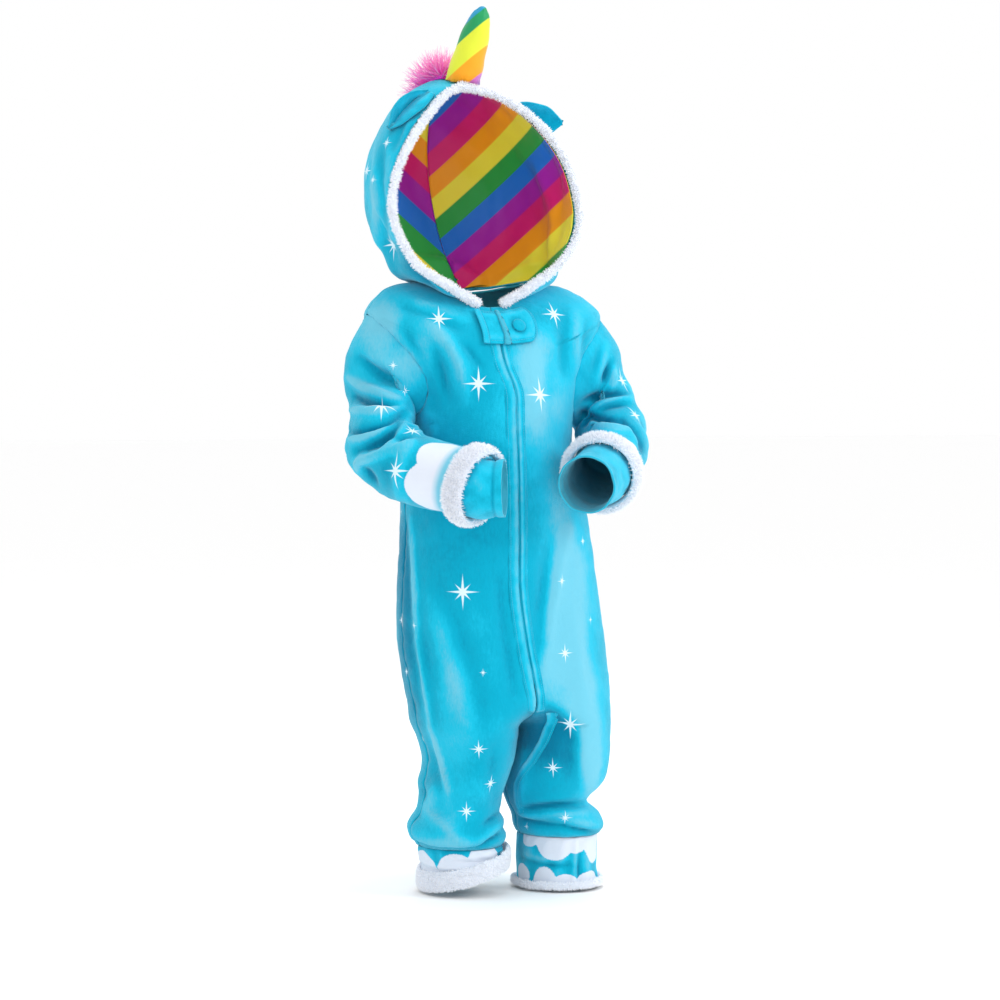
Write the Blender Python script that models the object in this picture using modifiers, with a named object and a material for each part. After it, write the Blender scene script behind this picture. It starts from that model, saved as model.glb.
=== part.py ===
"""A small child's hooded unicorn costume, standing as it is worn, with the arms bent forward.

The garment faces -Y, the wearer's left is +X and up is +Z. The origin is the middle of the neck at
shoulder height. Sizes in the tables are millimetres. Every cloth piece is a wall round rings or arcs
that the tables give, so the neck, cuffs, ankles and face opening are open.
"""

import math

import bmesh
import bpy
import numpy as np
from mathutils import Vector

MM = 0.001
CLOTH = 2.0  # velour wall
SATIN = 1.0  # lining wall
SEAM_GAP = 0.3  # between two pieces that are sewn together
LAID_ON = 0.5  # between a panel and what lies on it
WELD = 0.001

RIGHT = -1  # the wearer's right is -X
LEFT = 1
WORD = {RIGHT: "right", LEFT: "left"}

AQUA = (0.01, 0.48, 0.68)
WHITE = (0.85, 0.88, 0.92)
RAINBOW = (0.90, 0.32, 0.02)
PINK = (0.90, 0.16, 0.45)


def table(columns, rows):
    """The rows as one array for each named column."""
    values = np.array(rows, float)
    return {name: values[:, i] for i, name in enumerate(columns.split())}


def through(values, at):
    """A smooth curve through a column, read at fractional row numbers."""
    values = np.asarray(values, float)
    last = len(values) - 1
    at = np.asarray(at, float)
    row = np.clip(np.floor(at).astype(int), 0, last - 1)
    f = at - row
    before = values[np.maximum(row - 1, 0)]
    start = values[row]
    end = values[row + 1]
    after = values[np.minimum(row + 2, last)]
    return 0.5 * (
        2 * start
        + (end - before) * f
        + (2 * before - 5 * start + 4 * end - after) * f**2
        + (3 * start - before - 3 * end + after) * f**3
    )


# Body sections from the neckline down to the crotch. The ring dips at the front and back near the neck.
# split is 0 where both halves share one ring and 1 where each leg has its own. seam_x shifts the
# middle of the front, because the zip leans to the wearer's right.
TORSO_COLUMNS = "z_front z_side z_back half_width front back mid_x mid_y split seam_x"
TORSO = table(
    TORSO_COLUMNS,
    [
        (-7, 20, 12, 57, 57, 48, 0, 0, 0, -6),
        (-15, 18, 4, 86, 63, 56, 1, 0, 0, -8),
        (-24, 12, -6, 103, 69, 63, 4, 0, 0, -9),
        (-36, 1, -19, 119, 75, 69, 7, 0, 0, -10),
        (-50, -16, -35, 130, 80, 74, 9, 0, 0, -12),
        (-68, -52, -60, 117, 84, 79, 9, 0, 0, -9),
        (-94, -90, -92, 100, 90, 82, 9, 0, 0, -1),
        (-126, -126, -126, 91, 95, 84, 10, -1, 0, -3),
        (-160, -160, -160, 91, 94, 85, 12, -3, 0, -4),
        (-200, -200, -200, 97, 90, 88, 17, -5, 0, -7),
        (-245, -245, -245, 102, 86, 92, 20, -7, 0, -8.5),
        (-295, -295, -295, 107.5, 82, 96, 22.5, -8, 0, -9.5),
        (-345, -345, -345, 111.5, 80, 101, 26.5, -8, 0, -6),
        (-385, -385, -385, 110.5, 80, 102, 31, -9, 0.08, -3),
        (-418, -418, -418, 107, 81, 97, 34.5, -10, 0.45, 0),
        (-440, -440, -440, 104, 80, 86, 35, -11, 1, 0),
    ],
)
SHOULDER_ROW = 4  # where the armhole starts
UNDERARM_ROW = 7  # where it ends
CROTCH_ROW = 15

# Leg sections below the crotch, for the wearer's right and left.
LEG_COLUMNS = "z centre_x centre_y half_width front back"
LEGS = {
    RIGHT: table(
        LEG_COLUMNS,
        [
            (-456, -14.5, -11, 48.5, 76, 76),
            (-478, -14, -11, 44, 69, 64),
            (-502, -19.7, -10, 43.3, 63, 57),
            (-526, -22, -9, 42, 56, 54),
            (-544, -26.3, -9, 48.7, 58, 56),
            (-557, -23.5, -9, 49.5, 57, 56),
            (-566, -22, -8, 44, 51, 50),
        ],
    ),
    LEFT: table(
        LEG_COLUMNS,
        [
            (-456, 86.5, -12, 51.8, 77, 76),
            (-478, 85.8, -12, 54.5, 70, 64),
            (-502, 82.2, -12, 53.8, 61, 56),
            (-522, 74.5, -12, 42, 55, 52),
            (-537, 84.8, -12, 44.8, 56, 54),
            (-550, 89, -11, 46.5, 56, 55),
            (-558, 89, -10, 42.5, 51, 50),
        ],
    ),
}
LEG_ROWS = 7
LAST_ROW = CROTCH_ROW + LEG_ROWS

ARMHOLE_FRONT = 37  # degrees of the ring that the armhole takes, each side of the side line
ARMHOLE_BACK = 31
ARMHOLE_X = 96  # the middle of each armhole, from the middle of the torso
ARMHOLE_Z = -70
ARMHOLE_EASE = 0.981  # the sleeve's head is this much smaller than the armhole

# Sleeve rings from below the armhole to the fur cuff, by the line along the outside of the arm and
# the one along its inside.
ARM_COLUMNS = "out_x out_y out_z in_x in_y in_z depth"
ARMS = {
    RIGHT: table(
        ARM_COLUMNS,
        [
            (-136, -3, -50, -91, -6, -132, 41),
            (-129, -10, -88, -86, -16, -140, 40),
            (-146, -22, -124, -84, -32, -143, 38),
            (-156, -42, -160, -83, -48, -143, 38),
            (-138, -67, -188, -80, -62, -141, 38),
            (-125, -91, -196, -76, -74, -146, 37),
            (-106, -118, -202, -56, -99, -156, 35.5),
            (-87, -139, -206, -38, -119, -162, 34.5),
        ],
    ),
    LEFT: table(
        ARM_COLUMNS,
        [
            (160, -4, -46, 110, -6, -132, 41),
            (166, -11, -84, 107, -16, -139, 40),
            (178, -24, -122, 105, -30, -141, 38),
            (169, -45, -156, 105, -46, -138, 38),
            (150, -77, -180, 107, -57, -133, 38),
            (137, -97, -189, 94, -78, -143, 35.5),
            (121, -118, -197, 77, -100, -150, 34.5),
        ],
    ),
}

# The middle of each wrist opening.
WRIST_COLUMNS = "x y z"
WRISTS = {
    RIGHT: table(WRIST_COLUMNS, [(-31, -157, -190)]),
    LEFT: table(WRIST_COLUMNS, [(55, -164, -187)]),
}
FUR_CUFF_LENGTH = 24
FUR_CUFF_THICK = 10.5
WRIST_RADII = (32, 31.5, 31, 28.5, 29.5)

# The rim of the hood's opening from its peak down to the neck, and its half widths on each side.
RIM = table(
    "y z half_right half_left",
    [
        (-26, 221, 0, 0),
        (-29, 213, 18, 36),
        (-35, 196, 38, 64),
        (-43, 172, 61, 85),
        (-50, 143, 83, 99),
        (-55, 112, 98, 104),
        (-59, 84, 103, 103),
        (-62, 58, 97, 91),
        (-63, 34, 83, 68),
        (-63, 14, 52, 37),
        (-58, -6, 11, 11),
    ],
)
# Arcs of the hood from the rim back to the nape, each from the crown seam down to the neckline, by
# the angle where it meets the neckline and how far its middle stands out.
HOOD = table(
    "crown_y crown_z neck_angle bulge",
    [
        (-26, 221, -79, 97),
        (-4, 229, -52, 85),
        (26, 231, -24, 75),
        (59, 218, 2, 69),
        (86, 189, 26, 62),
        (101, 148, 47, 53),
        (99, 103, 64, 40),
        (83, 58, 79, 24),
        (54, 22, 90, 0),
    ],
)
HOOD_ROWS = 8
HOOD_STEPS = 10
HOOD_SHARES = np.array([0, 0.14, 0.28, 0.42, 0.56, 0.7, 0.82, 0.91, 0.97, 1.0])
FULLNESS = (1.0, 1.0, 1.02, 1.06, 1.03, 0.91, 0.80, 1.05, 1.5)  # of an arc's bulge, from crown to neck
HOOD_LEAN = -0.115  # the wearer's head leans to the right by this share of its height
RIM_SHARE = 0.34  # of the way back over which the rim's own shape fades
RIM_FOOT = 0.955  # where the trim ends, above the neckline
TRIM_RADIUS = 5.5

HORN_RADII = (17.5, 17.8, 17.2, 16, 14.2, 11.8, 8.6, 4.5)
HORN_HEIGHTS = (0, 0.08, 0.25, 0.45, 0.65, 0.82, 0.94, 1.0)
HORN_FOOT = (-17, -6)
HORN_TIP = (-9, -44, 300)

MANE_START = 1.62  # rows of the hood's table along the crown
MANE_END = 3.7
MANE_HEIGHT = 30
MANE_HALF_WIDTH = 17

# Ears: foot, tip, how far the middle bows away from the hood, and the way the hollow side faces.
EAR_COLUMNS = "foot_x foot_y foot_z tip_x tip_y tip_z bow open_x open_y open_z"
EARS = {
    RIGHT: table(EAR_COLUMNS, [(-53, -10, 207, -103, -20, 176, 3, 0.14, -0.82, -0.55)]),
    LEFT: table(EAR_COLUMNS, [(25, 9, 194, 97, -4, 189, 3, -0.1, -0.95, -0.3)]),
}
EAR_ACROSS = (13, 19, 22, 21, 16, 6)  # half widths of the flat leaf from foot to tip
EAR_WALL = 3  # two layers
EAR_RISE = 2  # how much further an ear that lies on the hood stands off it past its foot

# The largest folds of the body: degrees round the ring from the side line (front is minus) and
# height, at the two ends, how far the middle bows sideways, the half width and the height.
FOLD_COLUMNS = "angle_a z_a angle_b z_b bow half_width height"
BODY_FOLDS = {
    (RIGHT, "front"): table(
        FOLD_COLUMNS,
        [
            (-62, -40, -38, -150, 6, 12, 5),
            (-48, -60, -30, -160, 6, 10, -4),
            (-18, -200, -12, -430, 6, 14, 5),
            (-60, -430, -20, -520, 8, 18, 5),
        ],
    ),
    (LEFT, "front"): table(
        FOLD_COLUMNS,
        [
            (-58, -45, -52, -170, 4, 11, 5),
            (-42, -60, -40, -160, -4, 10, -4),
            (-30, -230, -26, -420, 4, 18, 5),
            (-70, -415, -28, -440, 6, 12, -4),
        ],
    ),
    (RIGHT, "back"): table(
        FOLD_COLUMNS,
        [
            (14, -180, 22, -400, 8, 12, 7),
            (40, -200, 30, -410, 6, 14, -5),
            (30, -425, 110, -440, -8, 14, -7),
            (60, -60, 70, -260, 6, 18, 5),
        ],
    ),
    (LEFT, "back"): table(
        FOLD_COLUMNS,
        [
            (16, -190, 24, -400, 6, 12, 6),
            (44, -180, 36, -400, -6, 14, -5),
            (30, -430, 110, -445, -8, 14, -7),
            (62, -60, 72, -250, -6, 18, 5),
        ],
    ),
}
MM_A_DEGREE = 1.66  # round a ring of the torso

# The largest folds of the sleeves, by degrees round the ring from the outside of the arm (90 is the
# front) and rows of the arm's table.
SLEEVE_FOLD_COLUMNS = "angle_a row_a angle_b row_b half_width height"
SLEEVE_FOLDS = {
    RIGHT: table(
        SLEEVE_FOLD_COLUMNS,
        [
            (20, 2.6, 150, 3.5, 0.3, 7),
            (5, 3.2, 150, 3.95, 0.22, -6),
            (-10, 3.8, 150, 4.3, 0.28, 8),
            (-10, 4.5, 140, 4.7, 0.22, -6),
            (-20, 5.2, 130, 5.1, 0.3, 6),
            (200, 3.9, 320, 4.3, 0.3, -6),
        ],
    ),
    LEFT: table(
        SLEEVE_FOLD_COLUMNS,
        [
            (10, 2.2, 140, 3.1, 0.3, 7),
            (0, 2.8, 150, 3.6, 0.22, -6),
            (-10, 3.3, 150, 3.9, 0.28, 8),
            (-10, 3.9, 140, 4.3, 0.22, -6),
            (-10, 4.6, 130, 4.7, 0.3, 6),
            (200, 3.6, 320, 4.0, 0.3, -6),
        ],
    ),
}


def material(name, colour, roughness):
    made = bpy.data.materials.new(name)
    made.use_nodes = True
    shader = made.node_tree.nodes["Principled BSDF"]
    shader.inputs["Base Color"].default_value = (*colour, 1.0)
    shader.inputs["Roughness"].default_value = roughness
    shader.inputs["Metallic"].default_value = 0.0
    return made


def solid_object(name, mesh_points, faces, finish):
    """One closed body from points in millimetres, with its faces turned out."""
    mesh = bpy.data.meshes.new(name)
    mesh.from_pydata([tuple(point * MM) for point in mesh_points], [], faces)
    shape = bmesh.new()
    shape.from_mesh(mesh)
    bmesh.ops.remove_doubles(shape, verts=shape.verts, dist=MM * WELD)
    bmesh.ops.recalc_face_normals(shape, faces=shape.faces)
    shape.to_mesh(mesh)
    shape.free()
    mesh.shade_smooth()
    mesh.materials.append(finish)
    made = bpy.data.objects.new(name, mesh)
    costume.objects.link(made)
    return made


def grid_faces(rows, columns, first, closed):
    """Triangles of a grid of points numbered from first. closed joins its last column to its first."""
    across = columns if closed else columns - 1
    faces = []
    for i in range(rows - 1):
        for j in range(across):
            a, b = first + i * columns + j, first + i * columns + (j + 1) % columns
            faces += [(a, b, b + columns), (a, b + columns, a + columns)]
    return faces


def wall(name, outside, inside, finish, closed=False):
    """The cloth between two grids of points. closed is for a tube, whose last column joins its first."""
    rows, columns = outside.shape[:2]
    count = rows * columns
    outer = grid_faces(rows, columns, 0, closed)
    inner = [face[::-1] for face in grid_faces(rows, columns, count, closed)]
    across = columns if closed else columns - 1
    rims = []
    for row in (0, rows - 1):
        for j in range(across):
            a, b = row * columns + j, row * columns + (j + 1) % columns
            rims += [(a, b, b + count), (a, b + count, a + count)]
    if not closed:
        for column in (0, columns - 1):
            for i in range(rows - 1):
                a, b = i * columns + column, (i + 1) * columns + column
                rims += [(a, b, b + count), (a, b + count, a + count)]
    points = np.concatenate([outside.reshape(-1, 3), inside.reshape(-1, 3)])
    return solid_object(name, points, outer + inner + rims, finish)


def ring_solid(name, points, finish, closed=True):
    """A grid of points closed across its columns, and along its rows too where closed."""
    rows, columns = points.shape[:2]
    faces = grid_faces(rows, columns, 0, True)
    if closed:
        last = (rows - 1) * columns
        faces += [(last + j, last + (j + 1) % columns, (j + 1) % columns, j) for j in range(columns)]
    else:
        faces += [tuple(range(columns)), tuple(range((rows - 1) * columns, rows * columns))]
    return solid_object(name, points.reshape(-1, 3), faces, finish)


def moved_out(surface, at, across, lift):
    """Points of surface(at, across), moved along the surface's normal by lift."""
    step = 0.02
    here = surface(at, across)
    down = surface(at + step, across) - surface(at - step, across)
    round_it = surface(at, across + step) - surface(at, across - step)
    normal = np.cross(round_it, down)
    normal /= np.maximum(np.linalg.norm(normal, axis=-1, keepdims=True), 1e-9)
    return here + normal * np.asarray(lift)[..., None]


def soft_fold(a, b, a0, b0, a1, b1, bow, half_width, height):
    """The height at (a, b) of one fold along a bowed line from (a0, b0) to (a1, b1)."""
    along_a, along_b = a1 - a0, b1 - b0
    length = math.hypot(along_a, along_b)
    share = ((a - a0) * along_a + (b - b0) * along_b) / length**2
    inside = np.clip(share, 0, 1)
    beyond = (share - inside) * length
    off = ((a - a0) * along_b - (b - b0) * along_a) / length
    off = off - bow * 4 * inside * (1 - inside)
    taper = np.sin(math.pi * (0.08 + 0.84 * inside)) ** 0.8
    return height * taper * np.exp(-((off / half_width) ** 2) - (beyond / half_width) ** 2)


# Body panels

def body_rows(side):
    """The torso's rings and one leg's as one table. A leg counts as half of a ring twice its width."""
    leg = LEGS[side]
    ones = np.ones(LEG_ROWS)
    below = {
        "z_front": leg["z"],
        "z_side": leg["z"],
        "z_back": leg["z"],
        "half_width": 2 * leg["half_width"],
        "front": leg["front"],
        "back": leg["back"],
        "mid_x": leg["centre_x"] - side * leg["half_width"],
        "mid_y": leg["centre_y"],
        "split": ones,
        "seam_x": 0 * ones,
    }
    return {name: np.concatenate([TORSO[name], below[name]]) for name in TORSO}


BODY = {side: body_rows(side) for side in (RIGHT, LEFT)}


def ring_share(side, at):
    """How far a row's ring is split, the half width of this side's own ring, and the angle at the middle seam."""
    share = np.clip(through(BODY[side]["split"], at), 0, 1)
    half = through(BODY[side]["half_width"], at) / (1 + share)
    return share, half, np.degrees(np.arccos(-share))


def body_ring(side):
    """The plain surface of one half: a point for each row and each angle from the side line."""
    rows = BODY[side]

    def surface(at, angle):
        at, angle = np.broadcast_arrays(np.asarray(at, float), np.asarray(angle, float))
        turn = np.radians(angle)
        across, along = np.cos(turn), np.sin(turn)
        share, half, _ = ring_share(side, at)
        ahead = angle < 0
        depth = np.where(ahead, through(rows["front"], at), through(rows["back"], at))
        end = np.where(ahead, through(rows["z_front"], at), through(rows["z_back"], at))
        shift = np.where(ahead, through(rows["seam_x"], at), 0) * along**2
        x = through(rows["mid_x"], at) + shift + side * (SEAM_GAP / 2 + half * (share + across))
        y = through(rows["mid_y"], at) + depth * along
        level = through(rows["z_side"], at)
        return np.stack([x, y, level + (end - level) * along**2], axis=-1)

    return surface


def body_points(side, part, at, angle, lift=0.0):
    """Points of a body panel with its folds, moved out by lift."""
    at, angle = np.broadcast_arrays(at, angle)
    surface = body_ring(side)
    z = surface(at, angle)[..., 2]
    folds = BODY_FOLDS[side, part]
    height = np.zeros(at.shape)
    for i in range(len(folds["height"])):
        row = {name: values[i] for name, values in folds.items()}
        height += soft_fold(
            angle * MM_A_DEGREE,
            z,
            row["angle_a"] * MM_A_DEGREE,
            row["z_a"],
            row["angle_b"] * MM_A_DEGREE,
            row["z_b"],
            row["bow"],
            row["half_width"],
            row["height"],
        )
    edge = ring_share(side, at)[2]
    height = height * np.clip((edge - np.abs(angle)) / 20, 0, 1) * np.clip((LAST_ROW - at) / 2, 0, 1)
    return moved_out(surface, at, angle, side * -height - side * lift)


def armhole_row(turn):
    """The row on the armhole's edge at a turn of 0 (shoulder) to 180 degrees (underarm)."""
    middle = (SHOULDER_ROW + UNDERARM_ROW) / 2
    return middle - (UNDERARM_ROW - SHOULDER_ROW) / 2 * np.cos(np.radians(turn))


ARMHOLE_STEPS = 8
CROTCH_STEPS = (8, 9, 10, 11, 12, 12.7, 13.2, 13.6, 14, 14.4, 15)
BODY_STEPS = np.concatenate(
    [
        np.linspace(0, SHOULDER_ROW, 4)[:-1],
        armhole_row(np.linspace(0, 180, ARMHOLE_STEPS + 1)),
        CROTCH_STEPS,
        np.linspace(CROTCH_ROW, LAST_ROW, 8)[1:],
    ]
)
PANEL_COLUMNS = 7


def side_edge(part, at):
    """How many degrees from the side line a panel ends: 0 at the side seam, more at the armhole."""
    span = ARMHOLE_FRONT if part == "front" else ARMHOLE_BACK
    middle = (SHOULDER_ROW + UNDERARM_ROW) / 2
    reach = (UNDERARM_ROW - SHOULDER_ROW) / 2
    return span * np.sqrt(np.clip(1 - ((at - middle) / reach) ** 2, 0, 1))


def body_panel(side, part):
    at = BODY_STEPS
    _, half, start = ring_share(side, at)
    stop = side_edge(part, at) + np.degrees(SEAM_GAP / 2 / np.minimum(half, 90))
    share = np.linspace(0, 1, PANEL_COLUMNS)
    sign = -1 if part == "front" else 1
    angle = sign * (start[:, None] + (stop - start)[:, None] * share)
    layers = [body_points(side, part, at[:, None], angle, lift) for lift in (0, -CLOTH)]
    return wall(f"{part}_{WORD[side]}", *layers, velour)


# Sleeves and their cuffs

def arm_rings(side, turn):
    """For each turn, the points of the armhole's edge and of every ring of the sleeve, one after the other."""
    arm = ARMS[side]
    outer = np.stack([arm["out_x"], arm["out_y"], arm["out_z"]], axis=-1)
    inner = np.stack([arm["in_x"], arm["in_y"], arm["in_z"]], axis=-1)
    middle = (outer + inner) / 2
    reach = (outer - inner) / 2
    hole = np.array([TORSO["mid_x"][UNDERARM_ROW] + side * ARMHOLE_X, 0, ARMHOLE_Z])
    path = np.vstack([hole, middle])
    tangent = np.vstack([path[2:] - path[:-2], path[-1:] - path[-2:-1]])
    ahead = -side * np.cross(reach, tangent)
    ahead *= (arm["depth"] / np.linalg.norm(ahead, axis=-1))[:, None]
    angle = np.radians(turn)[..., None, None]
    rings = middle + reach * np.cos(angle) + ahead * np.sin(angle)
    row = armhole_row(turn)
    span = np.where(np.sin(np.radians(turn)) >= 0, -ARMHOLE_FRONT, ARMHOLE_BACK)
    at_edge = span * np.abs(np.sin(np.radians(turn)))
    surface = body_ring(side)
    edge = moved_out(surface, row, at_edge, np.full(np.shape(row), -side * 2 * LAID_ON))
    edge = hole + (edge - hole) * ARMHOLE_EASE
    return np.concatenate([edge[..., None, :], rings], axis=-2)


def sleeve_end(side):
    """The middle of the sleeve's last ring, the way the arm points there, and the ring's radius."""
    arm = ARMS[side]
    outer = np.array([arm["out_x"][-1], arm["out_y"][-1], arm["out_z"][-1]])
    inner = np.array([arm["in_x"][-1], arm["in_y"][-1], arm["in_z"][-1]])
    quarter = arm_rings(side, np.array([90.0]))[0, -1]
    middle = (outer + inner) / 2
    away = np.cross(outer - middle, quarter - middle) * side
    return middle, away / np.linalg.norm(away), np.linalg.norm(outer - middle)


def sleeve_ring(side):
    """The plain surface of one sleeve by row, with 0 the armhole, and by degrees round."""

    def surface(at, turn):
        controls = arm_rings(side, turn)
        last = controls.shape[-2] - 1
        row = np.clip(np.floor(at).astype(int), 0, last - 1)
        f = (at - row)[..., None]

        def pick(index):
            index = np.clip(index, 0, last)
            return np.take_along_axis(controls, index[..., None, None], axis=-2)[..., 0, :]

        before, start, end, after = pick(row - 1), pick(row), pick(row + 1), pick(row + 2)
        return 0.5 * (
            2 * start
            + (end - before) * f
            + (2 * before - 5 * start + 4 * end - after) * f**2
            + (3 * start - before - 3 * end + after) * f**3
        )

    return surface


SLEEVE_STEPS = {
    RIGHT: (0, 0.5, 1, 1.6, 2.2, 2.7, 3.1, 3.5, 3.9, 4.3, 4.7, 5.2, 6, 7, 8),
    LEFT: (0, 0.5, 1, 1.6, 2.1, 2.5, 2.9, 3.3, 3.7, 4.1, 4.5, 5.2, 6, 7),
}


def sleeve(side):
    rings = len(ARMS[side]["depth"])
    turn = np.linspace(0, 360, 2 * ARMHOLE_STEPS + 1)
    at, turn = np.meshgrid(SLEEVE_STEPS[side], turn, indexing="ij")
    folds = SLEEVE_FOLDS[side]
    height = np.zeros(at.shape)
    for i in range(len(folds["height"])):
        row = {name: values[i] for name, values in folds.items()}
        height += soft_fold(
            turn / 70,
            at,
            row["angle_a"] / 70,
            row["row_a"],
            row["angle_b"] / 70,
            row["row_b"],
            0.1,
            row["half_width"],
            row["height"],
        )
    height *= np.clip((rings - at) / 1.5, 0, 1) * np.clip(at - 0.5, 0, 1)
    layers = [moved_out(sleeve_ring(side), at, turn, side * (height - deep)) for deep in (0, CLOTH)]
    return wall(f"sleeve_{WORD[side]}", *(layer[:, :-1] for layer in layers), velour, closed=True)


def ring_frames(centres):
    """For each point of a path, two directions across it, the first one level."""
    tangent = np.gradient(centres, axis=0)
    tangent /= np.linalg.norm(tangent, axis=-1, keepdims=True)
    level = np.cross(tangent, [0.0, 0.0, 1.0])
    level /= np.linalg.norm(level, axis=-1, keepdims=True)
    return tangent, level, np.cross(level, tangent)


def tube_points(centres, radii, segments):
    """Rings of the given radii round a path."""
    tangent, level, up = ring_frames(centres)
    turn = np.linspace(0, 2 * math.pi, segments, endpoint=False)[None, :, None]
    radii = np.asarray(radii, float)[:, None, None]
    return centres[:, None] + radii * (level[:, None] * np.cos(turn) + up[:, None] * np.sin(turn))


def padded_ring(centre, axis, inner, outer, length, segments, across):
    """Points of a padded ring round an axis, with an oval section."""
    level = np.cross(axis, [0.0, 0.0, 1.0])
    level /= np.linalg.norm(level)
    up = np.cross(level, axis)
    turn = np.linspace(0, 2 * math.pi, segments, endpoint=False)[:, None, None]
    section = np.linspace(0, 2 * math.pi, across, endpoint=False)[None, :, None]
    radius = (inner + outer) / 2 + (outer - inner) / 2 * np.cos(section)
    flat = level * np.cos(turn) + up * np.sin(turn)
    return centre + radius * flat + axis * (length / 2) * np.sin(section)


def cuffs(side):
    middle, away, radius = sleeve_end(side)
    inner = WRIST_RADII[0] + 2 * SEAM_GAP
    centre = middle + away * (FUR_CUFF_LENGTH / 2 * math.sin(math.radians(60)) + LAID_ON)
    ring = padded_ring(centre, away, inner, inner + FUR_CUFF_THICK, FUR_CUFF_LENGTH, 16, 6)
    ring_solid(f"fur_cuff_{WORD[side]}", ring, plush)
    opening = np.array([WRISTS[side][name][0] for name in ("x", "y", "z")])
    under_fur = [middle + away * FUR_CUFF_LENGTH * share for share in (0.08, 0.5, 0.95)]
    path = np.array([*under_fur, under_fur[-1] * 0.45 + opening * 0.55, opening])
    radii = np.array(WRIST_RADII)
    layers = [tube_points(path, radii - deep, 12) for deep in (0, CLOTH)]
    return wall(f"wrist_cuff_{WORD[side]}", *layers, velour, closed=True)


# Ankles: the printed band below each leg and the plush trim at the hem
BAND_COLUMNS = "z centre_x centre_y half_width depth tilt"
ANKLE_BANDS = {
    RIGHT: table(
        BAND_COLUMNS,
        [
            (-566.7, -22, -8, 42, 49, 0),
            (-573, -20, -8, 43.5, 50, 0.08),
            (-579, -19, -8, 42, 48.5, 0.15),
            (-585, -18, -8, 42.5, 49, 0.22),
            (-590, -17, -8, 41, 48, 0.28),
        ],
    ),
    LEFT: table(
        BAND_COLUMNS,
        [
            (-558.7, 89, -10, 41, 48, 0),
            (-570, 88, -10, 42, 49, 0),
            (-583, 88, -10, 42, 49, 0),
            (-596, 88, -10, 41, 48, 0.01),
            (-609, 89, -10, 42, 49, 0.02),
        ],
    ),
}
BAND_STEPS = 16
TRIM_THICK = 6
TRIM_TALL = {RIGHT: 22, LEFT: 9}  # the left one is turned up under the band


def ankle(side):
    """The printed band below a leg and the plush trim round its lower edge."""
    band = ANKLE_BANDS[side]
    turn = np.linspace(0, 2 * math.pi, BAND_STEPS, endpoint=False)

    def band_point(at, out, up):
        x = (through(band["half_width"], at) + out) * np.cos(turn)
        y = (through(band["depth"], at) + out) * np.sin(turn)
        z = through(band["z"], at) + through(band["tilt"], at) * x + up
        return np.stack([through(band["centre_x"], at) + x, through(band["centre_y"], at) + y, z], axis=-1)

    last = len(band["z"]) - 1
    rows = np.linspace(0, last, 6)
    layers = [np.array([band_point(at, -deep, 0) for at in rows]) for deep in (0, CLOTH)]
    wall(f"ankle_band_{WORD[side]}", *layers, velour, closed=True)
    swell = (band["half_width"][2:] - band["half_width"][-1]).max()
    section = np.linspace(0, 2 * math.pi, 6, endpoint=False)
    out = LAID_ON + swell + TRIM_THICK / 2 * (1 + np.cos(section))
    up = TRIM_TALL[side] / 2 * np.sin(section)
    ring = np.array([band_point(float(last), o, u) for o, u in zip(out, up)])
    ring_solid(f"ankle_trim_{WORD[side]}", ring, plush)


# Placket, neck tab and snap

PLACKET_TOP = 3.2  # row of the body's table
PLACKET_FOOT = 14.2
PLACKET_WIDTH = 11  # mm, from the middle of the zip
PLACKET_EDGE = 1.2  # from the middle of the zip
PLACKET_WALL = 1.5
PLACKET_LIFTS = (LAID_ON + PLACKET_WALL, LAID_ON)
LEG_PLACKET = table(
    "row angle",
    [(14.3, -118), (15.0, -136), (16.0, -141), (17.0, -150), (18.0, -162), (19.0, -165), (19.7, -165)],
)


def placket(side):
    inside = (BODY_STEPS > PLACKET_TOP) & (BODY_STEPS < PLACKET_FOOT)
    at = np.array([PLACKET_TOP, *BODY_STEPS[inside], PLACKET_FOOT])[:, None]
    _, half, edge = ring_share(side, at)
    width = np.degrees(np.linspace(PLACKET_EDGE, PLACKET_WIDTH, 3) / half)
    layers = [body_points(side, "front", at, width - edge, lift) for lift in PLACKET_LIFTS]
    return wall(f"placket_{WORD[side]}", *layers, velour)


def leg_placket():
    first, last = LEG_PLACKET["row"][[0, -1]]
    inside = (BODY_STEPS > first) & (BODY_STEPS < last)
    at = np.array([first, *BODY_STEPS[inside], last])[:, None]
    angle = np.interp(at, LEG_PLACKET["row"], LEG_PLACKET["angle"]) + np.linspace(0, 14, 3)
    layers = [body_points(LEFT, "front", at, angle, lift) for lift in PLACKET_LIFTS]
    return wall("placket_leg", *layers, velour)


TAB_TOP = 0.8
TAB_FOOT = 3.75
TAB_RIGHT = 20  # mm from the middle to the wearer's right
TAB_LEFT = 43
TAB_BAND = 7
TAB_LIFT = 2 * LAID_ON + 2 * PLACKET_WALL


def across_front(at, x, lift):
    """Points of the front at a row and a distance from the middle, plus towards the wearer's left."""
    reach = through(BODY[LEFT]["half_width"], at)
    angle = -90 + np.degrees(np.abs(x) / reach)
    points = body_points(LEFT, "front", at, angle, lift)
    mid = through(TORSO["mid_x"], at)
    mirrored = body_points(RIGHT, "front", at, angle, lift)
    side = np.clip(x / 4 + 0.5, 0, 1)[..., None]
    mirrored[..., 0] = np.where(x < 0, mirrored[..., 0], 2 * mid - mirrored[..., 0])
    points[..., 0] = np.where(x >= 0, points[..., 0], 2 * mid - points[..., 0])
    return points * side + mirrored * (1 - side)


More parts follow.
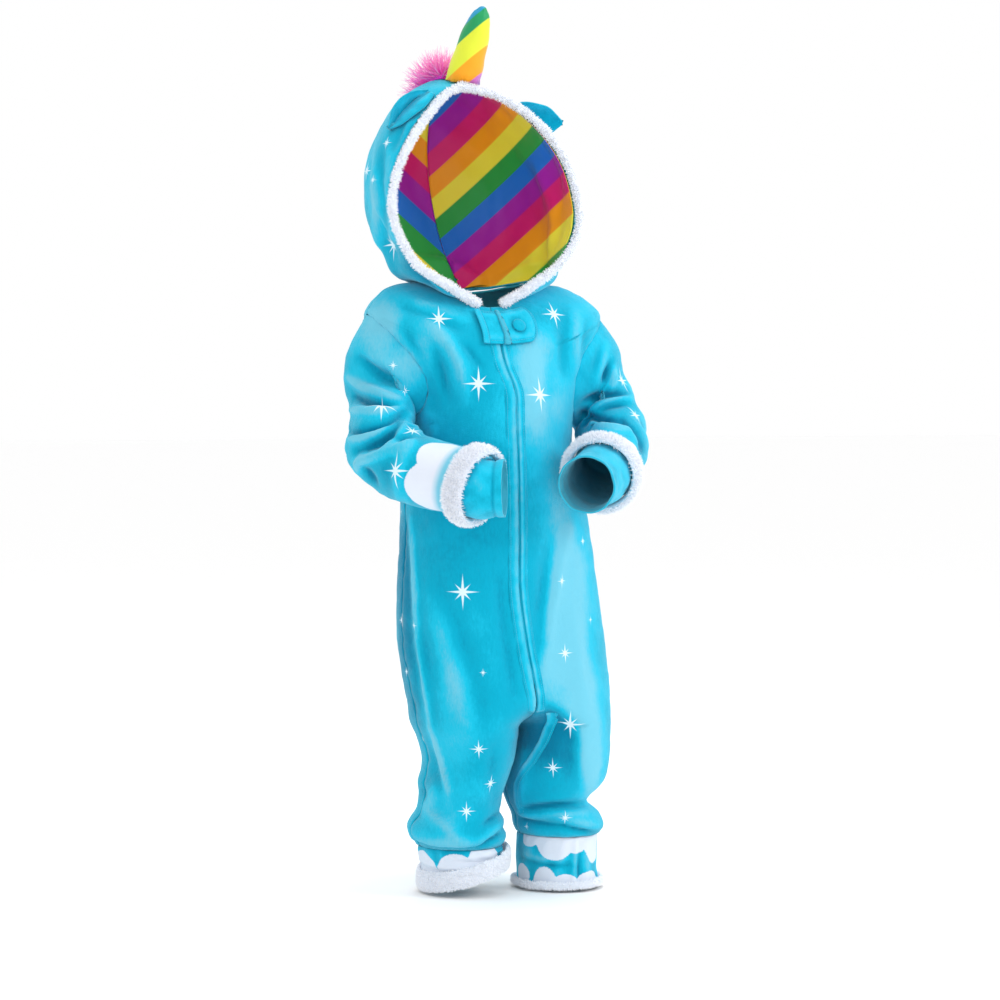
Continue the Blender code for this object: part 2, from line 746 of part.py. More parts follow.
def neck_tab():
    """The tab over the top of the zip, with a rounded end, and the band that its other end is sewn into."""
    at = np.linspace(TAB_TOP, TAB_FOOT, 5)[:, None]
    middle = (TAB_TOP + TAB_FOOT) / 2
    round_off = 12 * (1 - np.sqrt(1 - 0.98 * ((at - middle) / (TAB_FOOT - middle)) ** 2))
    start = TAB_BAND + 1 - TAB_RIGHT
    x = start + (TAB_LEFT - round_off - start) * np.linspace(0, 1, 7)
    layers = [across_front(at + 0 * x, x, TAB_LIFT - deep) for deep in (0, PLACKET_WALL)]
    wall("neck_tab", *layers, velour)
    x = np.linspace(-TAB_RIGHT, TAB_BAND - TAB_RIGHT, 3) + 0 * at
    layers = [across_front(at + 0 * x, x, TAB_LIFT + 0.5 - deep) for deep in (0, PLACKET_WALL)]
    wall("tab_band", *layers, velour)


SNAP_RADIUS = 7.2
SNAP_HEIGHT = 2.2
SNAP_ROW = 2.45
SNAP_X = 22


def snap():
    """A covered cap snap, a low turned dome on the tab."""
    spot = across_front(np.array([[SNAP_ROW]]), np.array([[SNAP_X]]), TAB_LIFT + LAID_ON)[0, 0]
    around = across_front(
        np.array([[SNAP_ROW, SNAP_ROW], [SNAP_ROW + 0.1, SNAP_ROW]]),
        np.array([[SNAP_X, SNAP_X + 1], [SNAP_X, SNAP_X]]),
        TAB_LIFT + LAID_ON,
    )
    normal = np.cross(around[1, 0] - around[0, 0], around[0, 1] - around[0, 0])
    normal /= np.linalg.norm(normal)
    heights = (SNAP_HEIGHT, SNAP_HEIGHT, SNAP_HEIGHT * 0.8, SNAP_HEIGHT * 0.4, 0.0, 0.0)
    radii = (0.0, SNAP_RADIUS * 0.45, SNAP_RADIUS * 0.8, SNAP_RADIUS, SNAP_RADIUS * 0.96, 0.0)
    curve = bpy.data.meshes.new("snap")
    shape = bmesh.new()
    ends = [shape.verts.new((r * MM, 0, h * MM)) for r, h in zip(radii, heights)]
    for first, second in zip(ends, ends[1:]):
        shape.edges.new((first, second))
    shape.to_mesh(curve)
    shape.free()
    curve.materials.append(velour)
    cap = bpy.data.objects.new("snap", curve)
    costume.objects.link(cap)
    turned = cap.modifiers.new("turned", "SCREW")
    turned.steps = turned.render_steps = 12
    turned.use_merge_vertices = True
    turned.merge_threshold = 1e-5
    turned.use_normal_calculate = True
    cap.location = (spot + normal * 0.2) * MM
    cap.rotation_mode = "QUATERNION"
    cap.rotation_quaternion = Vector(normal).to_track_quat("Z", "Y")
    return cap


# Hood

def neckline(side, angle):
    """Points just above the neckline of the body."""
    return body_ring(side)(np.zeros(np.shape(angle)), angle) + [0, 0, 2 * LAID_ON]


def rim_points(side):
    """The rim from its peak to the neckline."""
    half = RIM["half_right"] if side == RIGHT else RIM["half_left"]
    x = HOOD_LEAN * RIM["z"] + side * (half + SEAM_GAP / 2)
    points = np.stack([x, RIM["y"], RIM["z"]], axis=-1)
    points[-1] = neckline(side, HOOD["neck_angle"][0])
    return points


def hood_arc(side):
    """The plain surface of one side of the hood by row back from the rim and share down from the crown."""
    rim = rim_points(side)

    def arc(at, share):
        turn = math.pi * np.clip(share, 0, 1)
        crown_z = through(HOOD["crown_z"], at)
        crown_x = HOOD_LEAN * crown_z + side * SEAM_GAP / 2
        crown = np.stack([crown_x, through(HOOD["crown_y"], at), crown_z], axis=-1)
        neck = neckline(side, through(HOOD["neck_angle"], at))
        out = np.sin(turn) ** 0.9 * through(HOOD["bulge"], at) * through(FULLNESS, share * HOOD_ROWS)
        points = crown + (neck - crown) * ((1 - np.cos(turn)) / 2)[..., None]
        points[..., 0] += side * out
        return points

    def surface(at, share):
        at, share = np.broadcast_arrays(np.asarray(at, float), np.asarray(share, float))
        spot = share * (len(rim) - 1)
        edge = np.stack([through(rim[:, i], spot) for i in range(3)], axis=-1)
        fade = np.clip(1 - at / HOOD_ROWS / RIM_SHARE, 0, 1.2) ** 2
        return arc(at, share) + fade[..., None] * (edge - arc(0 * at, share))

    return surface


HOOD_FOLDS = table(
    "share_a row_a share_b row_b half_width height",
    [(0.30, 1.2, 0.62, 1.7, 0.05, 4), (0.34, 2.6, 0.75, 2.2, 0.05, -5), (0.5, 4.0, 0.9, 2.9, 0.06, 5)],
)


def hood_points(side, at, share, lift):
    at, share = np.broadcast_arrays(at, share)
    height = np.zeros(at.shape)
    for i in range(len(HOOD_FOLDS["height"])):
        row = {name: values[i] for name, values in HOOD_FOLDS.items()}
        height += soft_fold(
            share,
            at / 8,
            row["share_a"],
            row["row_a"] / 8,
            row["share_b"],
            row["row_b"] / 8,
            0.02,
            row["half_width"],
            row["height"],
        )
    points = moved_out(hood_arc(side), at, share, side * (height + lift))
    seam = HOOD_LEAN * points[..., 2]
    points[..., 0] = seam + side * np.maximum(side * (points[..., 0] - seam), SEAM_GAP / 2)
    return points


def behind_trim(side, share):
    """For each share, the row where the hood is just clear of the trim."""
    line = rim_line(120, 1.0)
    rows = np.linspace(0, 2, 81)
    points = hood_arc(side)(rows[:, None], share[None, :])
    away = np.linalg.norm(points[:, :, None] - line, axis=-1).min(axis=-1)
    return rows[np.argmax(away > TRIM_RADIUS + 4 * SEAM_GAP, axis=0)]


def hood_side(side, lift, thick, name, finish, shares):
    """One side of the hood or its lining, from the trim to the nape."""
    start = behind_trim(side, shares)
    at = start + (HOOD_ROWS - start) * np.linspace(0, 1, HOOD_STEPS)[:, None]
    layers = [hood_points(side, at, shares, lift - deep) for deep in (0, thick)]
    return wall(f"{name}_{WORD[side]}", *layers, finish)


def rim_line(count, foot=RIM_FOOT):
    """The rim from the wearer's right neck over the peak to the left neck, ending at this share of its height."""
    share = np.linspace(foot, 0.0, count)
    right = hood_arc(RIGHT)(np.zeros(count), share)
    left = hood_arc(LEFT)(np.zeros(count), share[::-1])
    return np.vstack([right[:-1], (right[-1:] + left[:1]) / 2, left[1:]])


def hood_trim():
    """The plush trim is a padded roll along the rim, with closed ends."""
    return ring_solid("hood_trim", tube_across(rim_line(19), TRIM_RADIUS, 6), plush, closed=False)


def tube_across(line, radius, segments):
    """Rings round a line that turns every way, each facing the middle of the opening."""
    tangent = np.gradient(line, axis=0)
    tangent /= np.linalg.norm(tangent, axis=-1, keepdims=True)
    outward = line - line.mean(axis=0)
    outward -= tangent * (outward * tangent).sum(axis=-1, keepdims=True)
    outward /= np.linalg.norm(outward, axis=-1, keepdims=True)
    aside = np.cross(tangent, outward)
    turn = np.linspace(0, 2 * math.pi, segments, endpoint=False)[None, :, None]
    return line[:, None] + radius * (outward[:, None] * np.cos(turn) + aside[:, None] * np.sin(turn))


# Horn, mane and ears

def crown_height(x, y):
    """The top of the hood and its trim near a point, from samples of both."""
    at, share = np.meshgrid(np.linspace(0.3, 5, 60), np.linspace(0, 0.35, 40), indexing="ij")
    hood = [hood_points(side, at, share, 0.0).reshape(-1, 3) for side in (RIGHT, LEFT)]
    trim = tube_across(rim_line(60), TRIM_RADIUS, 16).reshape(-1, 3)
    tops = np.vstack([*hood, trim])
    near = np.hypot(tops[:, 0] - x, tops[:, 1] - y) < 4.5
    return tops[near, 2].max()


def horn():
    """A stuffed cone, a ring at a time, whose foot follows the crown it is sewn to."""
    foot = np.array([*HORN_FOOT, crown_height(*HORN_FOOT)])
    axis = np.array(HORN_TIP) - foot
    turn = np.linspace(0, 2 * math.pi, 14, endpoint=False)
    rings = []
    for share, radius in zip(HORN_HEIGHTS, HORN_RADII):
        centre = foot + axis * share
        lean = min(share * 3, 1.0)
        normal = axis / np.linalg.norm(axis) * lean + np.array([0, 0, 1.0]) * (1 - lean)
        normal /= np.linalg.norm(normal)
        side = np.cross([0.0, 1.0, 0.0], normal)
        side /= np.linalg.norm(side)
        front = np.cross(normal, side)
        ring = centre + radius * (np.outer(np.cos(turn), side) + np.outer(np.sin(turn), front))
        if share == 0:
            ring[:, 2] = [crown_height(x, y) + LAID_ON for x, y in ring[:, :2]]
        rings.append(ring)
    for level in (1, 2):
        rings[level][:, 2] = np.maximum(rings[level][:, 2], rings[level - 1][:, 2] + 2.5)
    return ring_solid("horn", np.array(rings), satin, closed=False)


def mane():
    """A padded ridge over the crown seam, the reach of the long pile."""
    at = np.linspace(MANE_START, MANE_END, 7)
    share = np.linspace(0, 1, 7)
    swell = np.sin(np.pi * (0.12 + 0.76 * share)) ** 0.5
    seam = hood_points(LEFT, at, np.zeros(7), 0.0)
    behind = np.gradient(seam, axis=0)
    behind /= np.linalg.norm(behind, axis=-1, keepdims=True)
    aside = np.array([1.0, 0.0, 0.0])
    out = np.cross(behind, aside)
    out *= np.sign(out[:, 2:3])
    section = np.linspace(0, math.pi, 9)
    rings = []
    for i in range(7):
        arch = seam[i] + out[i] * LAID_ON * 1.6
        ring = [
            arch
            + aside * MANE_HALF_WIDTH * swell[i] * math.cos(a)
            + out[i] * MANE_HEIGHT * swell[i] * math.sin(a)
            for a in section
        ]
        rings.append(ring)
    return ring_solid("mane", np.array(rings), pink_fur, closed=False)


def ear(side):
    """A leaf folded round its length, hollow towards the front, that lies on the hood where it meets it."""
    row = {name: values[0] for name, values in EARS[side].items()}
    foot, tip, open_way = (np.array([row[f"{end}_{axis}"] for axis in "xyz"]) for end in ("foot", "tip", "open"))
    long_way = tip - foot
    unit = long_way / np.linalg.norm(long_way)
    open_way -= unit * (open_way @ unit)
    open_way /= np.linalg.norm(open_way)
    wide_way = np.cross(unit, open_way)
    share = np.linspace(0, 1, len(EAR_ACROSS))[:, None]
    across = np.linspace(-1, 1, 6)[None, :]
    curl = np.radians(80) * (1 - 0.35 * share)
    radius = np.array(EAR_ACROSS)[:, None] / curl
    aside = radius * np.sin(across * curl)
    rise = radius * (1 - np.cos(across * curl)) - row["bow"] * np.sin(math.pi * share) * 0.8
    points = foot + long_way * share[..., None] + wide_way * aside[..., None] + open_way * rise[..., None]
    points = off_the_hood(side, points, share)
    return wall(f"ear_{WORD[side]}", points - hollow_side(points) * EAR_WALL, points, velour)


def hollow_side(points):
    """The directions out of an ear's hollow side."""
    down, over = np.gradient(points, axis=(0, 1))
    way = np.cross(over, down)
    return way / np.linalg.norm(way, axis=-1, keepdims=True)


def off_the_hood(side, points, along):
    """The points, with those whose outer layer is too near the hood moved out along its surface's normal."""
    at, share = np.meshgrid(np.linspace(0.1, 4, 80), np.linspace(0.0, 0.5, 80), indexing="ij")
    skin = hood_points(side, at, share, 0.0).reshape(-1, 3)
    normal = hood_points(side, at, share, 1.0).reshape(-1, 3) - skin
    flat = points.reshape(-1, 3)
    nearest = np.linalg.norm(flat[:, None] - skin, axis=-1).argmin(axis=1)
    height = ((flat - skin[nearest]) * normal[nearest]).sum(axis=-1)
    facing = (hollow_side(points).reshape(-1, 3) * normal[nearest]).sum(axis=-1)
    rise = np.repeat(EAR_RISE * np.clip(4 * along, 0, 1), points.shape[1])
    lift = np.clip(LAID_ON + EAR_WALL * np.clip(facing, 0, 1) + rise - height, 0, None)
    return (flat + normal[nearest] * lift[:, None]).reshape(points.shape)


for old in list(bpy.data.objects):
    bpy.data.objects.remove(old)
costume = bpy.data.collections.new("unicorn_costume")
bpy.context.scene.collection.children.link(costume)
velour = material("velour", AQUA, 0.85)
plush = material("plush", WHITE, 0.95)
satin = material("satin", RAINBOW, 0.4)
pink_fur = material("pink_fur", PINK, 0.9)

for half in (RIGHT, LEFT):
    for half_part in ("front", "back"):
        body_panel(half, half_part)
    sleeve(half)
    cuffs(half)
    ankle(half)
    placket(half)
    ear(half)
    hood_side(half, 0.0, CLOTH, "hood", velour, HOOD_SHARES)
    hood_side(half, -CLOTH - LAID_ON, SATIN, "lining", satin, HOOD_SHARES[:-1])
leg_placket()
neck_tab()
snap()
hood_trim()
horn()
mane()
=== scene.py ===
"""The looks of a small child's hooded unicorn costume, worn and empty, on a pale floor."""

import math

import bmesh
import bpy
import numpy as np
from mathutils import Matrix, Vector, noise


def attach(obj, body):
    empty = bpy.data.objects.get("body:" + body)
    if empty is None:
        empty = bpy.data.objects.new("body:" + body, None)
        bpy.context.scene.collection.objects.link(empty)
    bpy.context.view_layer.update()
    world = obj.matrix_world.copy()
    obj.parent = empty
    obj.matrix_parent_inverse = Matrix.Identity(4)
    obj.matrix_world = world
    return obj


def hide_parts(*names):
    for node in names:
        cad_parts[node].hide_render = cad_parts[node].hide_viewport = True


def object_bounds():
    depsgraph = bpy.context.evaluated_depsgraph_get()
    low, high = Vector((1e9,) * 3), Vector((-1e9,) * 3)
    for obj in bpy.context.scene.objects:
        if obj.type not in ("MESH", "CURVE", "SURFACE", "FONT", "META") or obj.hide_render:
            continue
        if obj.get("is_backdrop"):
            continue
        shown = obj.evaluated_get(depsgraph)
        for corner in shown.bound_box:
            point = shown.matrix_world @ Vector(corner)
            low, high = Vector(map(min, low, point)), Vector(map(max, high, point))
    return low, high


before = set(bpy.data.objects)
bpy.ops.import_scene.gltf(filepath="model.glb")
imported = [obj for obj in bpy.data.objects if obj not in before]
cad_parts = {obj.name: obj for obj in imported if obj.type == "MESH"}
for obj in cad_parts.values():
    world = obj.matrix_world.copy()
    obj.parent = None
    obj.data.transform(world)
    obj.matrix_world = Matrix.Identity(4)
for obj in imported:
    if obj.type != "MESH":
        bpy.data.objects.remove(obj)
cad_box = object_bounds()

# Body panels. Two fronts and two backs of velour, each cut in one from the shoulder to the ankle,
# sewn at the shoulders, sides, inside legs and centre back. They hang from the shoulders in soft
# diagonal folds, and the legs are too long and bunch above the ankle bands.

MM = 0.001
CLOTH = 1.8
SATIN = 1.0
SEAM_GAP = 0.3
LAID_ON = 0.5
RIGHT = -1  # the wearer's right is -X
LEFT = 1
WORD = {RIGHT: "right", LEFT: "left"}


def table(columns, rows):
    """The rows as one array for each named column."""
    values = np.array(rows, float)
    return {name: values[:, i] for i, name in enumerate(columns.split())}


def each_row(columns):
    """The rows of a table, one after the other."""
    return zip(*columns.values())


def unit(vectors):
    """The vectors at length 1."""
    return vectors / np.maximum(np.linalg.norm(vectors, axis=-1, keepdims=True), 1e-9)


def full_turn(count):
    """Angles at even steps all round."""
    return np.linspace(0, 2 * math.pi, count, endpoint=False)


def between(before, start, end, after, f):
    """A smooth curve past four values, at a share f of the way from the second to the third."""
    return 0.5 * (
        2 * start
        + (end - before) * f
        + (2 * before - 5 * start + 4 * end - after) * f**2
        + (3 * start - before - 3 * end + after) * f**3
    )


def through(values, at):
    """A smooth curve through a column, read at fractional row numbers."""
    values = np.asarray(values, float)
    last = len(values) - 1
    at = np.asarray(at, float)
    row = np.clip(np.floor(at).astype(int), 0, last - 1)
    before, after = np.maximum(row - 1, 0), np.minimum(row + 2, last)
    return between(values[before], values[row], values[row + 1], values[after], at - row)


TORSO = table("z_front z_side z_back half_width front back mid_x mid_y split seam_x", [
    (-7, 20, 12, 57, 57, 48, 0, 0, 0, -6),
    (-15, 18, 4, 86, 63, 56, 1, 0, 0, -8),
    (-24, 12, -6, 103, 69, 63, 4, 0, 0, -9),
    (-36, 1, -19, 119, 75, 69, 7, 0, 0, -10),
    (-50, -16, -35, 130, 80, 74, 9, 0, 0, -12),
    (-68, -52, -60, 117, 84, 79, 9, 0, 0, -9),
    (-94, -90, -92, 100, 90, 82, 9, 0, 0, -1),
    (-126, -126, -126, 91, 95, 84, 10, -1, 0, -3),
    (-160, -160, -160, 91, 94, 85, 12, -3, 0, -4),
    (-200, -200, -200, 97, 90, 88, 17, -5, 0, -7),
    (-245, -245, -245, 102, 86, 92, 20, -7, 0, -8.5),
    (-295, -295, -295, 107.5, 82, 96, 22.5, -8, 0, -9.5),
    (-345, -345, -345, 111.5, 80, 101, 26.5, -8, 0, -6),
    (-385, -385, -385, 110.5, 80, 102, 31, -9, 0.08, -3),
    (-418, -418, -418, 107, 81, 97, 34.5, -10, 0.45, 0),
    (-440, -440, -440, 104, 80, 86, 35, -11, 1, 0),
])
SHOULDER_ROW = 4
UNDERARM_ROW = 7
CROTCH_ROW = 15
LEG_COLUMNS = "z centre_x centre_y half_width front back"
LEGS = {
    RIGHT: table(LEG_COLUMNS, [
        (-456, -14.5, -11, 48.5, 76, 76),
        (-478, -14, -11, 44, 69, 64),
        (-502, -19.7, -10, 43.3, 63, 57),
        (-526, -22, -9, 42, 56, 54),
        (-544, -26.3, -9, 48.7, 58, 56),
        (-557, -23.5, -9, 49.5, 57, 56),
        (-566, -22, -8, 44, 51, 50),
    ]),
    LEFT: table(LEG_COLUMNS, [
        (-456, 86.5, -12, 51.8, 77, 76),
        (-478, 85.8, -12, 54.5, 70, 64),
        (-502, 82.2, -12, 53.8, 61, 56),
        (-522, 74.5, -12, 42, 55, 52),
        (-537, 84.8, -12, 44.8, 56, 54),
        (-550, 89, -11, 46.5, 56, 55),
        (-558, 89, -10, 42.5, 51, 50),
    ]),
}
LAST_ROW = CROTCH_ROW + 7
ARMHOLE_FRONT = 37  # degrees of the ring that the armhole takes, each side of the side line
ARMHOLE_BACK = 31

# Folds as seen square on from the photo's side: millimetres across and up, bow sideways, half
# width and height, with troughs below zero.
FOLD_COLUMNS = "across_a up_a across_b up_b bow half_width height"
FRONT_FOLDS = table(FOLD_COLUMNS, [
    (-97, -24, -41, -136, -6, 7, 3.5),
    (-72, -26, -43, -106, 0, 7, -5),
    (-59, -11, -9, -103, -12, 8, 4.5),
    (-41, -48, -28, -99, 0, 6, -4.5),
    (-11, -44, 6, -69, 0, 4, -3),
    (92, -14, 92, -76, 0, 7, -5),
    (103, -14, 108, -136, 0, 5, 4),
    (117, -20, 114, -85, 0, 6, -3.5),
    (-78, 6, -9, -20, 0, 5, 3),
    (-76, -5, -16, -30, 0, 4, -3.5),
    (57, -43, 60, -150, 0, 14, 2.5),
    (78, -60, 84, -150, 3, 9, -2.5),
    (-66, -223, -59, -345, 0, 3.5, 5),
    (-74, -223, -67, -345, 0, 5, -5),
    (-59, -345, -45, -439, 0, 3.5, 5),
    (-67, -345, -54, -436, 0, 5, -5),
    (-45, -439, -27, -503, 0, 4, 5),
    (-54, -436, -36, -503, 0, 5, -5),
    (-60, -405, -49, -461, 0, 4, 4),
    (95, -235, 69, -388, 3, 6, 5),
    (82, -235, 58, -388, 3, 8, -3.5),
    (100, -328, 113, -430, 0, 9, 4),
    (62, -404, 112, -437, -6, 9, 3),
    (58, -420, 102, -452, -6, 9, -3.5),
    (112, -437, 113, -490, 2, 8, 3.5),
    (100, -447, 101, -500, 2, 9, -3),
    (-51, -298, -8, -448, -4, 12, 3.5),
    (-35, -290, 8, -430, -4, 9, -2.5),
    (26, -280, 41, -401, 2, 7, -3.5),
    (-51, -525, -11, -557, 0, 5, 3.5),
    (-64, -563, 4, -564, 2, 3, -7),
    (-64, -555, 4, -556, 2, 6, 5),
    (4, -563, 28, -549, 0, 3, -6),
    (4, -555, 26, -542, 0, 5, 4),
    (-61, -533, -48, -490, -3, 5, -5),
    (-50, -527, -40, -500, 0, 5, 4),
    (10, -538, 27, -530, 0, 3, -4),
    (48, -530, 114, -524, -3, 3.5, -7),
    (60, -535, 114, -533, -2, 3.5, 4),
    (42, -541, 91, -545, 1, 3, -6),
    (42, -533, 60, -535, 0, 5, 4),
    (91, -545, 128, -557, 0, 3, -6),
    (91, -537, 128, -548, 0, 5, 4),
    (50, -470, 47, -530, -2, 6, 3),
    (20, -450, 24, -520, 3, 8, -3),
])
BACK_FOLDS = table(FOLD_COLUMNS, [
    (-80, -30, -20, -120, 6, 9, 4),
    (-60, -20, -5, -100, 6, 8, -4.5),
    (95, -30, 40, -120, -6, 9, 4),
    (78, -22, 20, -95, -5, 8, -4.5),
    (-70, -150, -40, -330, -8, 9, 5),
    (-55, -160, -22, -320, -8, 9, -4),
    (96, -160, 72, -330, 8, 9, 5),
    (80, -170, 52, -330, 8, 9, -4),
    (-30, -330, 20, -395, -12, 9, 5),
    (85, -330, 30, -400, 12, 9, -5),
    (-60, -395, 0, -432, -9, 8, 5),
    (-55, -412, 5, -445, -8, 6, -6),
    (110, -395, 55, -432, 9, 8, 5),
    (108, -412, 52, -446, 8, 6, -6),
    (-55, -500, 10, -520, 4, 6, 4),
    (-55, -512, 12, -530, 4, 5, -5),
    (60, -492, 125, -510, 4, 6, 4),
    (60, -505, 125, -520, 4, 5, -5),
    (-62, -552, 20, -556, 3, 5, 5),
    (-62, -562, 20, -563, 3, 3, -6),
    (48, -535, 128, -543, 3, 5, 4.5),
    (48, -545, 128, -552, 3, 3, -6),
])
VIEW_AZIMUTH = math.radians(-22)  # the photo's, towards the wearer's right
VIEW_BACK = np.array([math.sin(VIEW_AZIMUTH), -math.cos(VIEW_AZIMUTH), 0.0])

# Patches of painted light (plus) and painted shade, where the pile looks lighter or darker: middle, half
# sizes, turn in degrees, amount.
PAINTED_LIGHT_DEPTH = 50  # how far behind the middle the patches that show have faded out
PAINTED_LIGHT_PATCHES = table("across up half_across half_up turn amount", [
    (98, -320, 21, 112, 5, 1.9),
    (80, -380, 18, 40, -25, 1.0),
    (122, -470, 12, 60, 0, 1.6),
    (-78, -300, 9, 110, 3, -1.3),
    (-63, -290, 4, 90, 3, 0.9),
    (-53, -410, 4, 60, 10, 0.8),
    (-36, -480, 4, 40, 14, 0.7),
    (-66, -430, 10, 50, 8, -0.8),
    (68, -95, 33, 72, 4, 1.35),
    (-60, -60, 20, 45, -35, 1.0),
    (-100, -20, 28, 26, 30, 1.5),
    (-102, -65, 22, 22, 0, 0.9),
    (-98, -140, 30, 22, 20, 0.55),
    (120, -20, 18, 26, 0, 0.5),
    (-20, -430, 22, 60, -20, 0.35),
    (-35, -530, 22, 26, 0, 0.5),
    (-20, -250, 60, 60, 0, -0.6),
    (-52, -380, 14, 80, 5, -0.7),
    (70, -452, 33, 32, -30, -1.4),
    (60, -515, 30, 22, 0, -0.45),
    (20, -170, 50, 40, 0, -0.4),
    (-78, -170, 20, 22, 0, -0.5),
    (100, -140, 16, 26, 0, -0.5),
    (-95, 120, 20, 40, 10, 0.8),
    (-60, 200, 30, 20, 0, 0.9),
    (-80, 30, 24, 24, 0, -0.4),
])


def mottle_and_painted_light(points):
    """Painted light and shade at each point: the lighter and darker patches seen in the photo, as painted
    light and painted shade, and soft lumps of random tone all over.
    """
    across, up = as_seen(points)
    total = 0.35 * unevenness(points, 46, 12.4)
    shown = np.clip((points @ VIEW_BACK + PAINTED_LIGHT_DEPTH) / PAINTED_LIGHT_DEPTH, 0, 1)
    for a, b, wide, tall, turn, amount in each_row(PAINTED_LIGHT_PATCHES):
        sine, cosine = math.sin(math.radians(turn)), math.cos(math.radians(turn))
        x = ((across - a) * cosine + (up - b) * sine) / wide
        y = ((up - b) * cosine - (across - a) * sine) / tall
        total += amount * shown * np.exp(-((x**2 + y**2) ** 1.3))
    return total


def as_seen(points):
    """How far across and up points are when they are looked at from the photo's side."""
    across = points[..., 0] * math.cos(VIEW_AZIMUTH) + points[..., 1] * math.sin(VIEW_AZIMUTH)
    return across, points[..., 2]


def beside_line(a, b, a0, b0, a1, b1, bow):
    """For points (a, b) by a bowed line: their share along it, how far beyond its ends and how far
    aside they are."""
    along_a, along_b = a1 - a0, b1 - b0
    length = math.hypot(along_a, along_b)
    share = ((a - a0) * along_a + (b - b0) * along_b) / length**2
    inside = np.clip(share, 0, 1)
    off = ((a - a0) * along_b - (b - b0) * along_a) / length - bow * 4 * inside * (1 - inside)
    return inside, (share - inside) * length, off


def fold_height(folds, points):
    """The height of all the folds of a table at each point."""
    across, up = as_seen(points)
    total = np.zeros(across.shape)
    for *line, half_width, height in each_row(folds):
        inside, beyond, off = beside_line(across, up, *line)
        taper = np.sin(math.pi * (0.1 + 0.8 * inside)) ** 0.7
        total += height * taper * np.exp(-(np.abs(off / half_width) ** 1.7) - (beyond / half_width) ** 2)
    return total


def unevenness(points, size, seed):
    """Soft lumps of about this size, between -1 and 1."""
    flat = points.reshape(-1, 3) / size + seed
    return np.array([noise.noise(Vector(p)) for p in flat]).reshape(points.shape[:-1])


def moved_out(surface, at, across, lift):
    """Points of surface(at, across), moved along the surface's normal by lift."""
    step = 0.02
    here = surface(at, across)
    down = surface(at + step, across) - surface(at - step, across)
    round_it = surface(at, across + step) - surface(at, across - step)
    return here + unit(np.cross(round_it, down)) * np.asarray(lift)[..., None]


def body_rows(side):
    """The torso's rings and one leg's as one table. A leg counts as half of a ring twice its width."""
    leg = LEGS[side]
    ones = np.ones(len(leg["z"]))
    below = {
        "z_front": leg["z"],
        "z_side": leg["z"],
        "z_back": leg["z"],
        "half_width": 2 * leg["half_width"],
        "front": leg["front"],
        "back": leg["back"],
        "mid_x": leg["centre_x"] - side * leg["half_width"],
        "mid_y": leg["centre_y"],
        "split": ones,
        "seam_x": 0 * ones,  # the middle seams of the legs run straight
    }
    return {name: np.concatenate([TORSO[name], below[name]]) for name in TORSO}


BODY = {side: body_rows(side) for side in (RIGHT, LEFT)}


def ring_share(side, at):
    """How far a row's ring is split, this side's half width, and the angle at the middle seam."""
    share = np.clip(through(BODY[side]["split"], at), 0, 1)
    half = through(BODY[side]["half_width"], at) / (1 + share)
    return share, half, np.degrees(np.arccos(-share))


def body_ring(side):
    """The plain surface of one half: a point for each row and each angle from the side line."""
    rows = BODY[side]

    def surface(at, angle):
        at, angle = np.broadcast_arrays(np.asarray(at, float), np.asarray(angle, float))
        turn = np.radians(angle)
        across, along = np.cos(turn), np.sin(turn)
        share, half, _ = ring_share(side, at)
        ahead = angle < 0
        depth = np.where(ahead, through(rows["front"], at), through(rows["back"], at))
        end = np.where(ahead, through(rows["z_front"], at), through(rows["z_back"], at))
        shift = np.where(ahead, through(rows["seam_x"], at), 0) * along**2
        x = through(rows["mid_x"], at) + shift + side * (SEAM_GAP / 2 + half * (share + across))
        y = through(rows["mid_y"], at) + depth * along
        level = through(rows["z_side"], at)
        return np.stack([x, y, level + (end - level) * along**2], axis=-1)

    return surface


def body_folds(side, at, angle):
    """The height of the folds, which die out at the middle seam, the armhole and the lower end."""
    plain = body_ring(side)(at, angle)
    ahead = np.clip(0.5 - angle / 50, 0, 1)
    height = ahead * fold_height(FRONT_FOLDS, plain) + (1 - ahead) * fold_height(BACK_FOLDS, plain)
    edge = ring_share(side, at)[2]
    height = height * np.clip((edge - np.abs(angle)) / 14, 0, 1) * np.clip((LAST_ROW - at) / 0.7, 0, 1)
    hole = np.where(angle < 0, side_edge("front", at), side_edge("back", at))
    return height * np.where(hole > 0, np.clip((np.abs(angle) - hole) / 12 + 0.1, 0, 1), 1)


def body_points(side, at, angle, lift=0.0):
    """Points of a body panel with its folds, moved out by lift."""
    at, angle = np.broadcast_arrays(at, angle)
    height = body_folds(side, at, angle)
    return moved_out(body_ring(side), at, angle, side * -height - side * np.asarray(lift))


def even_rows(surface, first, last, across, gap):
    """Row numbers about the same distance apart down a surface."""
    fine = np.linspace(first, last, 600)
    points = surface(fine, np.full(600, float(across)))
    run = np.concatenate([[0], np.cumsum(np.linalg.norm(np.diff(points, axis=0), axis=1))])
    return np.interp(np.linspace(0, run[-1], int(run[-1] / gap) + 1), run, fine)


def side_edge(part, at):
    """How many degrees from the side line a panel ends: 0 at the side seam, more at the armhole."""
    span = ARMHOLE_FRONT if part == "front" else ARMHOLE_BACK
    middle = (SHOULDER_ROW + UNDERARM_ROW) / 2
    reach = (UNDERARM_ROW - SHOULDER_ROW) / 2
    return span * np.sqrt(np.clip(1 - ((at - middle) / reach) ** 2, 0, 1))


def run_along(points, axis):
    """How far each point is from the first along one way of a grid, in millimetres."""
    steps = np.linalg.norm(np.diff(points, axis=axis), axis=-1)
    first = np.zeros_like(np.take(steps, [0], axis=axis))
    return np.cumsum(np.concatenate([first, steps], axis=axis), axis=axis)


def out_of(points, closed):
    """Unit normals of a grid of points."""
    down = np.gradient(points, axis=0)
    if closed:
        over = np.roll(points, -1, axis=1) - np.roll(points, 1, axis=1)
    else:
        over = np.gradient(points, axis=1)
    return unit(np.cross(over, down))


def turned_to(normals, way):
    """The normals, all turned round if they mostly face against a way."""
    return normals * np.sign((normals * way).sum())


